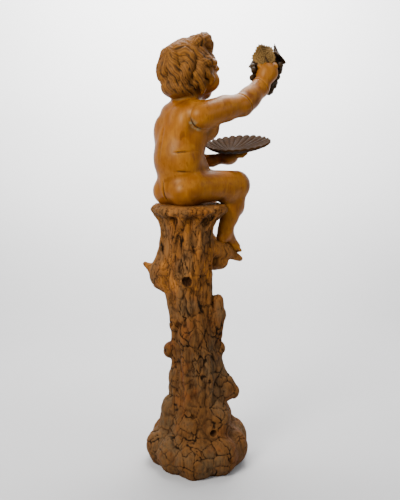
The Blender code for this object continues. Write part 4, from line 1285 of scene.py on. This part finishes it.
def ringed_disc(segments, sizes):
    """A flat round sheet with rings of these radii, to be shaped vertex by vertex."""
    shape = bmesh.new()
    disc = bmesh.ops.create_circle(shape, cap_ends=True, segments=segments, radius=sizes[0])
    ring = list({edge for vertex in disc["verts"] for edge in vertex.link_edges})
    for inner, outer in zip(sizes, sizes[1:]):
        grown = bmesh.ops.extrude_edge_only(shape, edges=ring)["geom"]
        moved = of_kind(bmesh.types.BMVert, grown)
        bmesh.ops.scale(shape, vec=(outer / inner, outer / inner, 1), verts=moved)
        ring = of_kind(bmesh.types.BMEdge, grown)
    return shape


def shell_shape():
    sizes = [0.10 + 0.90 * (i / DISH_RINGS) ** 0.9 for i in range(DISH_RINGS + 1)]
    shape = ringed_disc(8 * DISH_RIBS, sizes)
    for vertex in shape.verts:
        share = vertex.co.xy.length
        angle = math.atan2(vertex.co.y, vertex.co.x)
        rib = 2 * abs(math.cos(0.5 * DISH_RIBS * angle)) ** 0.8 - 1
        wave = rib * min(1.0, 1.3 * share)
        edge = max(0.0, (share - 0.86) / 0.14)
        reach = DISH_RADIUS * (1 + 0.022 * rib * edge)
        shift = HINGE_SHIFT * DISH_RADIUS * (1 - share)
        growth = 0.0004 * math.sin(52 * share) * share
        height = DISH_DEPTH * (share**2 - 1) + RIB_HEIGHT * wave + growth
        vertex.co = Vector((vertex.co.x * reach, vertex.co.y * reach + shift, height))
    bmesh.ops.recalc_face_normals(shape, faces=shape.faces)
    return shape


def with_wall(piece, thickness):
    """Gives a thin sheet its wall, as a plain mesh."""
    wall = piece.modifiers.new("wall", "SOLIDIFY")
    wall.thickness = thickness
    wall.offset = 0
    piece.data = made_plain(piece)
    return piece


dish = with_wall(mesh_piece("shell_dish_carving", shell_shape()), DISH_WALL)
dish.data.transform(Matrix.Translation(body_place(DISH_CENTRE)) @ DISH_TURN.to_matrix().to_4x4())
Skin(dish.data).note_hollows(0.0007, 0.0030, 30)
# the fifth number darkens the cuts with grime and painted shade
dish_finish = waxed("dish_wood", DISH_BROWN, DISH_DARK, DISH_PALE, 0.8, 0.9, 0.75, 0.08)[0]
dressed(dish, dish_finish)
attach(dish, "root")
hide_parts("shell_dish")


# The bunch of grapes.
# Round grapes and four lobed vine leaves with raised veins, carved from one dark block and held by
# its stalk in the right fist. The leaves are nearly black; the one over the fist, which faces the camera
# and the left lamp, is painted in a lighter olive brown copy of the wood as painted light.

BUNCH_TOP = Vector((-15.7, -57.6, 86.0))
BUNCH_FOOT = Vector((-16.6, -56.8, 68.4))
GRAPES = 44
GRAPE_RADIUS = 0.0098
LEAF_WALL = 0.0024
GOLDEN_TURN = math.pi * (3 - math.sqrt(5))
LEAVES = (
    ("leaf_over_fist", (-22.6, -50.1, 85.3), (0.30, 0.36, 0.86), (-0.77, 0.64, 0.10), 0.066),
    ("leaf_outer", (-22.0, -63.6, 86.0), (0.28, 0.30, 0.90), (-0.50, -0.80, 0.30), 0.068),
    ("leaf_inner", (-16.0, -48.6, 88.0), (0.66, 0.45, -0.60), (-0.20, 0.90, 0.40), 0.042),
    ("leaf_front", (-13.6, -62.8, 87.9), (0.50, -0.30, -0.80), (0.60, -0.75, 0.30), 0.066),
)
GRAPE_BROWN = (0.012, 0.0055, 0.002)
GRAPE_DARK = (0.004, 0.002, 0.001)
GRAPE_PALE = (0.035, 0.016, 0.005)
LEAF_OLIVE_PAINTED_LIGHT = (0.075, 0.040, 0.011)
LEAF_PALE_PAINTED_LIGHT = (0.165, 0.090, 0.026)


def grapes_and_stalk():
    clay = Figure()
    top, foot = BUNCH_TOP, BUNCH_FOOT
    clay.limb(top, foot.lerp(top, 0.2), 6.4, 1.4, melt=0.5)
    clay.strand([RIGHT_FIST + HAND_THICKNESS * 3.5, top + 2 * UP], (1.4, 2.0), melt=0.5)
    crown = top + 2.4 * UP
    for _, place, points, _, length in LEAVES:
        base = Vector(place)
        tip = base + Vector(points).normalized() * 0.35 * length / UNIT
        stem = [top, crown.lerp(base, 0.5) + 1.6 * UP, base, tip]
        clay.strand(stem, (1.5, 1.0, 0.8, 0.55), melt=0.3)
    grape = GRAPE_RADIUS / UNIT
    for i in range(GRAPES):
        share = i / (GRAPES - 1)
        turn = i * GOLDEN_TURN
        out = (9.2 - 8.0 * share**1.3) * (0.92 + 0.08 * math.sin(5 * i))
        middle = top.lerp(foot, share) + Vector((math.cos(turn) * out, math.sin(turn) * out, 0))
        clay.egg(middle, (grape, grape, 1.12 * grape), melt=0.06)
        away = (middle - top.lerp(foot, share)).normalized() - 0.35 * UP
        clay.egg(middle + away.normalized() * grape, (0.28, 0.28, 0.28), melt=0.2, dig=True)
    twig = [top, (-15.4, -50.0, 86.0), (-14.6, -46.0, 83.0), (-14.8, -45.8, 76.5)]
    clay.strand(twig, (1.2, 0.9, 0.8, 0.6), melt=0.3)
    for i in range(5):
        beside = Vector((0.8 * math.cos(2.4 * i), 1.1 * math.sin(2.4 * i), 0))
        clay.egg(Vector((-14.9, -45.6, 83.4 - 2.2 * i)) + beside, (grape, grape, 1.1 * grape), melt=0.06)
    return clay


def vine_leaf(name, place, points, faces, length, lobes=0.32, scrolls=0.0):
    """A lobed leaf with raised veins that curls at its edges. It points one way and faces another."""
    shape = ringed_disc(120, [0.06 + 0.94 * i / 15 for i in range(16)])
    for vertex in shape.verts:
        share = vertex.co.xy.length
        angle = math.atan2(vertex.co.x, vertex.co.y)
        notch = 1 / (1 + math.exp(-12 * (abs(angle) - 2.9)))
        lobe = 1.02 - lobes * (1 - abs(math.cos(2.5 * angle)) ** 1.3) - 0.20 * notch
        teeth = 0.055 * (1 - 2 * abs(math.sin(12.5 * angle)))
        rim = share**3
        reach = share * (0.85 + (lobe - 0.85) * rim + teeth * rim)
        out = vertex.co.xy.normalized() * reach * length * 0.56
        curl = 0.10 * math.cos(3 * angle) - 0.20 * math.sin(angle) ** 2 - 0.10 * math.cos(angle)
        vein = 0
        for k in range(5):
            away = angle - math.radians(72 * k)
            raised = math.exp(-((reach * math.sin(away) / 0.05) ** 2))
            vein = max(vein, raised * (math.cos(away) > 0) * (1 - 0.6 * share))
        quilted = 0.012 * math.sin(30 * share) * abs(math.sin(2.5 * angle))
        height = length * (reach**2 * curl + 0.030 * vein + quilted)
        flat = Vector((share * math.sin(angle), share * math.cos(angle)))
        for side in (1, -1):
            near = (flat - Vector((0.42 * side, 0.05))).length
            height += scrolls * length * math.sin(40 * near + angle) * max(0, 1 - near / 0.5)
        vertex.co = Vector((out.x, out.y + 0.40 * length, height))
    bmesh.ops.recalc_face_normals(shape, faces=shape.faces)
    leaf = with_wall(mesh_piece(name, shape), LEAF_WALL)
    ahead = Vector(points).normalized()
    across = ahead.cross(Vector(faces)).normalized()
    turn = Matrix((across, ahead, across.cross(ahead))).transposed().to_4x4()
    leaf.data.transform(Matrix.Translation(body_place(place)) @ turn)
    return leaf


bunch, bunch_skin = modelled("grapes_and_stalk", grapes_and_stalk(), 0.0016)
bunch_skin.note_hollows(0.0009, 0.0050, 40)
dressed(bunch, waxed("grape_wood", GRAPE_BROWN, GRAPE_DARK, GRAPE_PALE, 0.35, 0.9, 0.5, 0.2)[0])
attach(bunch, "root")
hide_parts("grape_bunch")

# painted light: the leaf over the fist gets a lighter olive brown copy of the dark leaf wood
painted_light_leaf_finish = waxed("leaf_wood", LEAF_OLIVE_PAINTED_LIGHT, GRAPE_BROWN, LEAF_PALE_PAINTED_LIGHT, 0.5, 0.55, 0.6, 0.12)[0]
dark_leaf_finish = waxed("dark_leaf_wood", GRAPE_BROWN, GRAPE_DARK, GRAPE_PALE, 0.4, 0.9, 0.6, 0.12)[0]
for number, leaf_pose in enumerate(LEAVES):
    leaf = vine_leaf(*leaf_pose, 0.16, 0.035) if number == 0 else vine_leaf(*leaf_pose)
    Skin(leaf.data).note_hollows(0.0006, 0.0030, 20)
    dressed(leaf, painted_light_leaf_finish if number == 0 else dark_leaf_finish)
    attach(leaf, "root")


# The studio.
# A floor that curves up into a cool white backdrop, with painted shade making it pale grey low down, lit
# by broad soft lamps above and at both sides. The camera looks at the cupid's back from its right, a
# little from above.

FLOOR_START = -3.2
SWEEP_START = 1.6
SWEEP = 1.2
FLOOR_GREY_PAINTED_SHADE = (0.37, 0.37, 0.375)
WALL_PALE = (0.96, 0.96, 0.965)
CAMERA_TURN = math.radians(230)
CAMERA_DISTANCE = 2.19
CAMERA_HEIGHT = 1.063
CAMERA_TILT = math.radians(9.1)
FOCAL_PIXELS = 690
FRAME_HEIGHT = 500


def backdrop():
    """The floor, swept up behind the statue as seen by the camera."""
    away = Vector((-math.sin(CAMERA_TURN), math.cos(CAMERA_TURN), 0))
    profile = [(FLOOR_START, 0), (SWEEP_START, 0)]
    for i in range(1, 13):
        turn = math.radians(90 * i / 12)
        profile.append((SWEEP_START + SWEEP * math.sin(turn), SWEEP - SWEEP * math.cos(turn)))
    profile.append((SWEEP_START + SWEEP, 5.0))
    shape = bmesh.new()
    chain = [shape.verts.new(away * reach + Vector((0, 0, height))) for reach, height in profile]
    edges = [shape.edges.new(pair) for pair in zip(chain, chain[1:])]
    side = away.cross(UP)
    bmesh.ops.translate(shape, vec=-4 * side, verts=chain)
    grown = bmesh.ops.extrude_edge_only(shape, edges=edges)["geom"]
    bmesh.ops.translate(shape, vec=8 * side, verts=of_kind(bmesh.types.BMVert, grown))
    bmesh.ops.recalc_face_normals(shape, faces=shape.faces)
    return mesh_piece("floor", shape)


floor = backdrop()
floor_finish, floor_tree, floor_shader = new_material("floor_paper", 0.75)
mottling = math_node(floor_tree, "MULTIPLY", noise_node(floor_tree, 1.4), 0.10)
# painted shade: the paper is painted grey on the floor, lightening to near white as it rises up the
# backdrop
rise = ramp(floor_tree, math_node(floor_tree, "ADD", height_of(floor_tree), mottling), -0.25, 1.6)
paper_painted_light = blended(floor_tree, rise, FLOOR_GREY_PAINTED_SHADE, WALL_PALE)
floor_tree.links.new(paper_painted_light, floor_shader.inputs["Base Color"])
dressed(floor, floor_finish)


def soft_lamp(name, place, aim, size, power, colour):
    lamp = bpy.data.lights.new(name, "AREA")
    lamp.shape = "DISK"
    lamp.size = size
    lamp.energy = power
    lamp.color = colour
    holder = bpy.data.objects.new(name, lamp)
    holder.location = place
    holder.rotation_euler = (Vector(aim) - Vector(place)).to_track_quat("-Z", "Y").to_euler()
    bpy.context.scene.collection.objects.link(holder)


def seen_from(turn, distance, height):
    """A place round the statue, its angle counted from the camera's own."""
    angle = CAMERA_TURN + math.radians(turn)
    return Vector((math.sin(angle) * distance, -math.cos(angle) * distance, height))


soft_lamp("left_lamp", seen_from(-38, 2.6, 2.3), (0, 0, 0.9), 1.3, 175, (1.0, 0.98, 0.95))
soft_lamp("right_lamp", seen_from(55, 2.6, 1.9), (0, 0, 0.8), 1.6, 26, (0.97, 0.98, 1.0))
soft_lamp("top_lamp", seen_from(150, 1.2, 3.0), (0, 0, 0.7), 1.8, 50, (1.0, 1.0, 1.0))
soft_lamp("backdrop_lamp", seen_from(180, 1.0, 3.2), seen_from(180, 3.0, 1.6), 2.0, 320, (1.0, 1.0, 1.0))

world = bpy.data.worlds.new("studio")
world.use_nodes = True
world.node_tree.nodes["Background"].inputs["Color"].default_value = (0.86, 0.89, 0.94, 1)
world.node_tree.nodes["Background"].inputs["Strength"].default_value = 0.55
bpy.context.scene.world = world

lens = bpy.data.cameras.new("camera")
lens.sensor_width = 36
lens.lens = FOCAL_PIXELS / FRAME_HEIGHT * lens.sensor_width
camera = bpy.data.objects.new("camera", lens)
camera.location = seen_from(0, CAMERA_DISTANCE, CAMERA_HEIGHT)
ahead = Vector((
    -math.sin(CAMERA_TURN) * math.cos(CAMERA_TILT),
    math.cos(CAMERA_TURN) * math.cos(CAMERA_TILT),
    -math.sin(CAMERA_TILT),
))
camera.rotation_euler = ahead.to_track_quat("-Z", "Y").to_euler()
camera.rotation_euler.z -= 2 / FOCAL_PIXELS
bpy.context.scene.collection.objects.link(camera)
bpy.context.scene.camera = camera
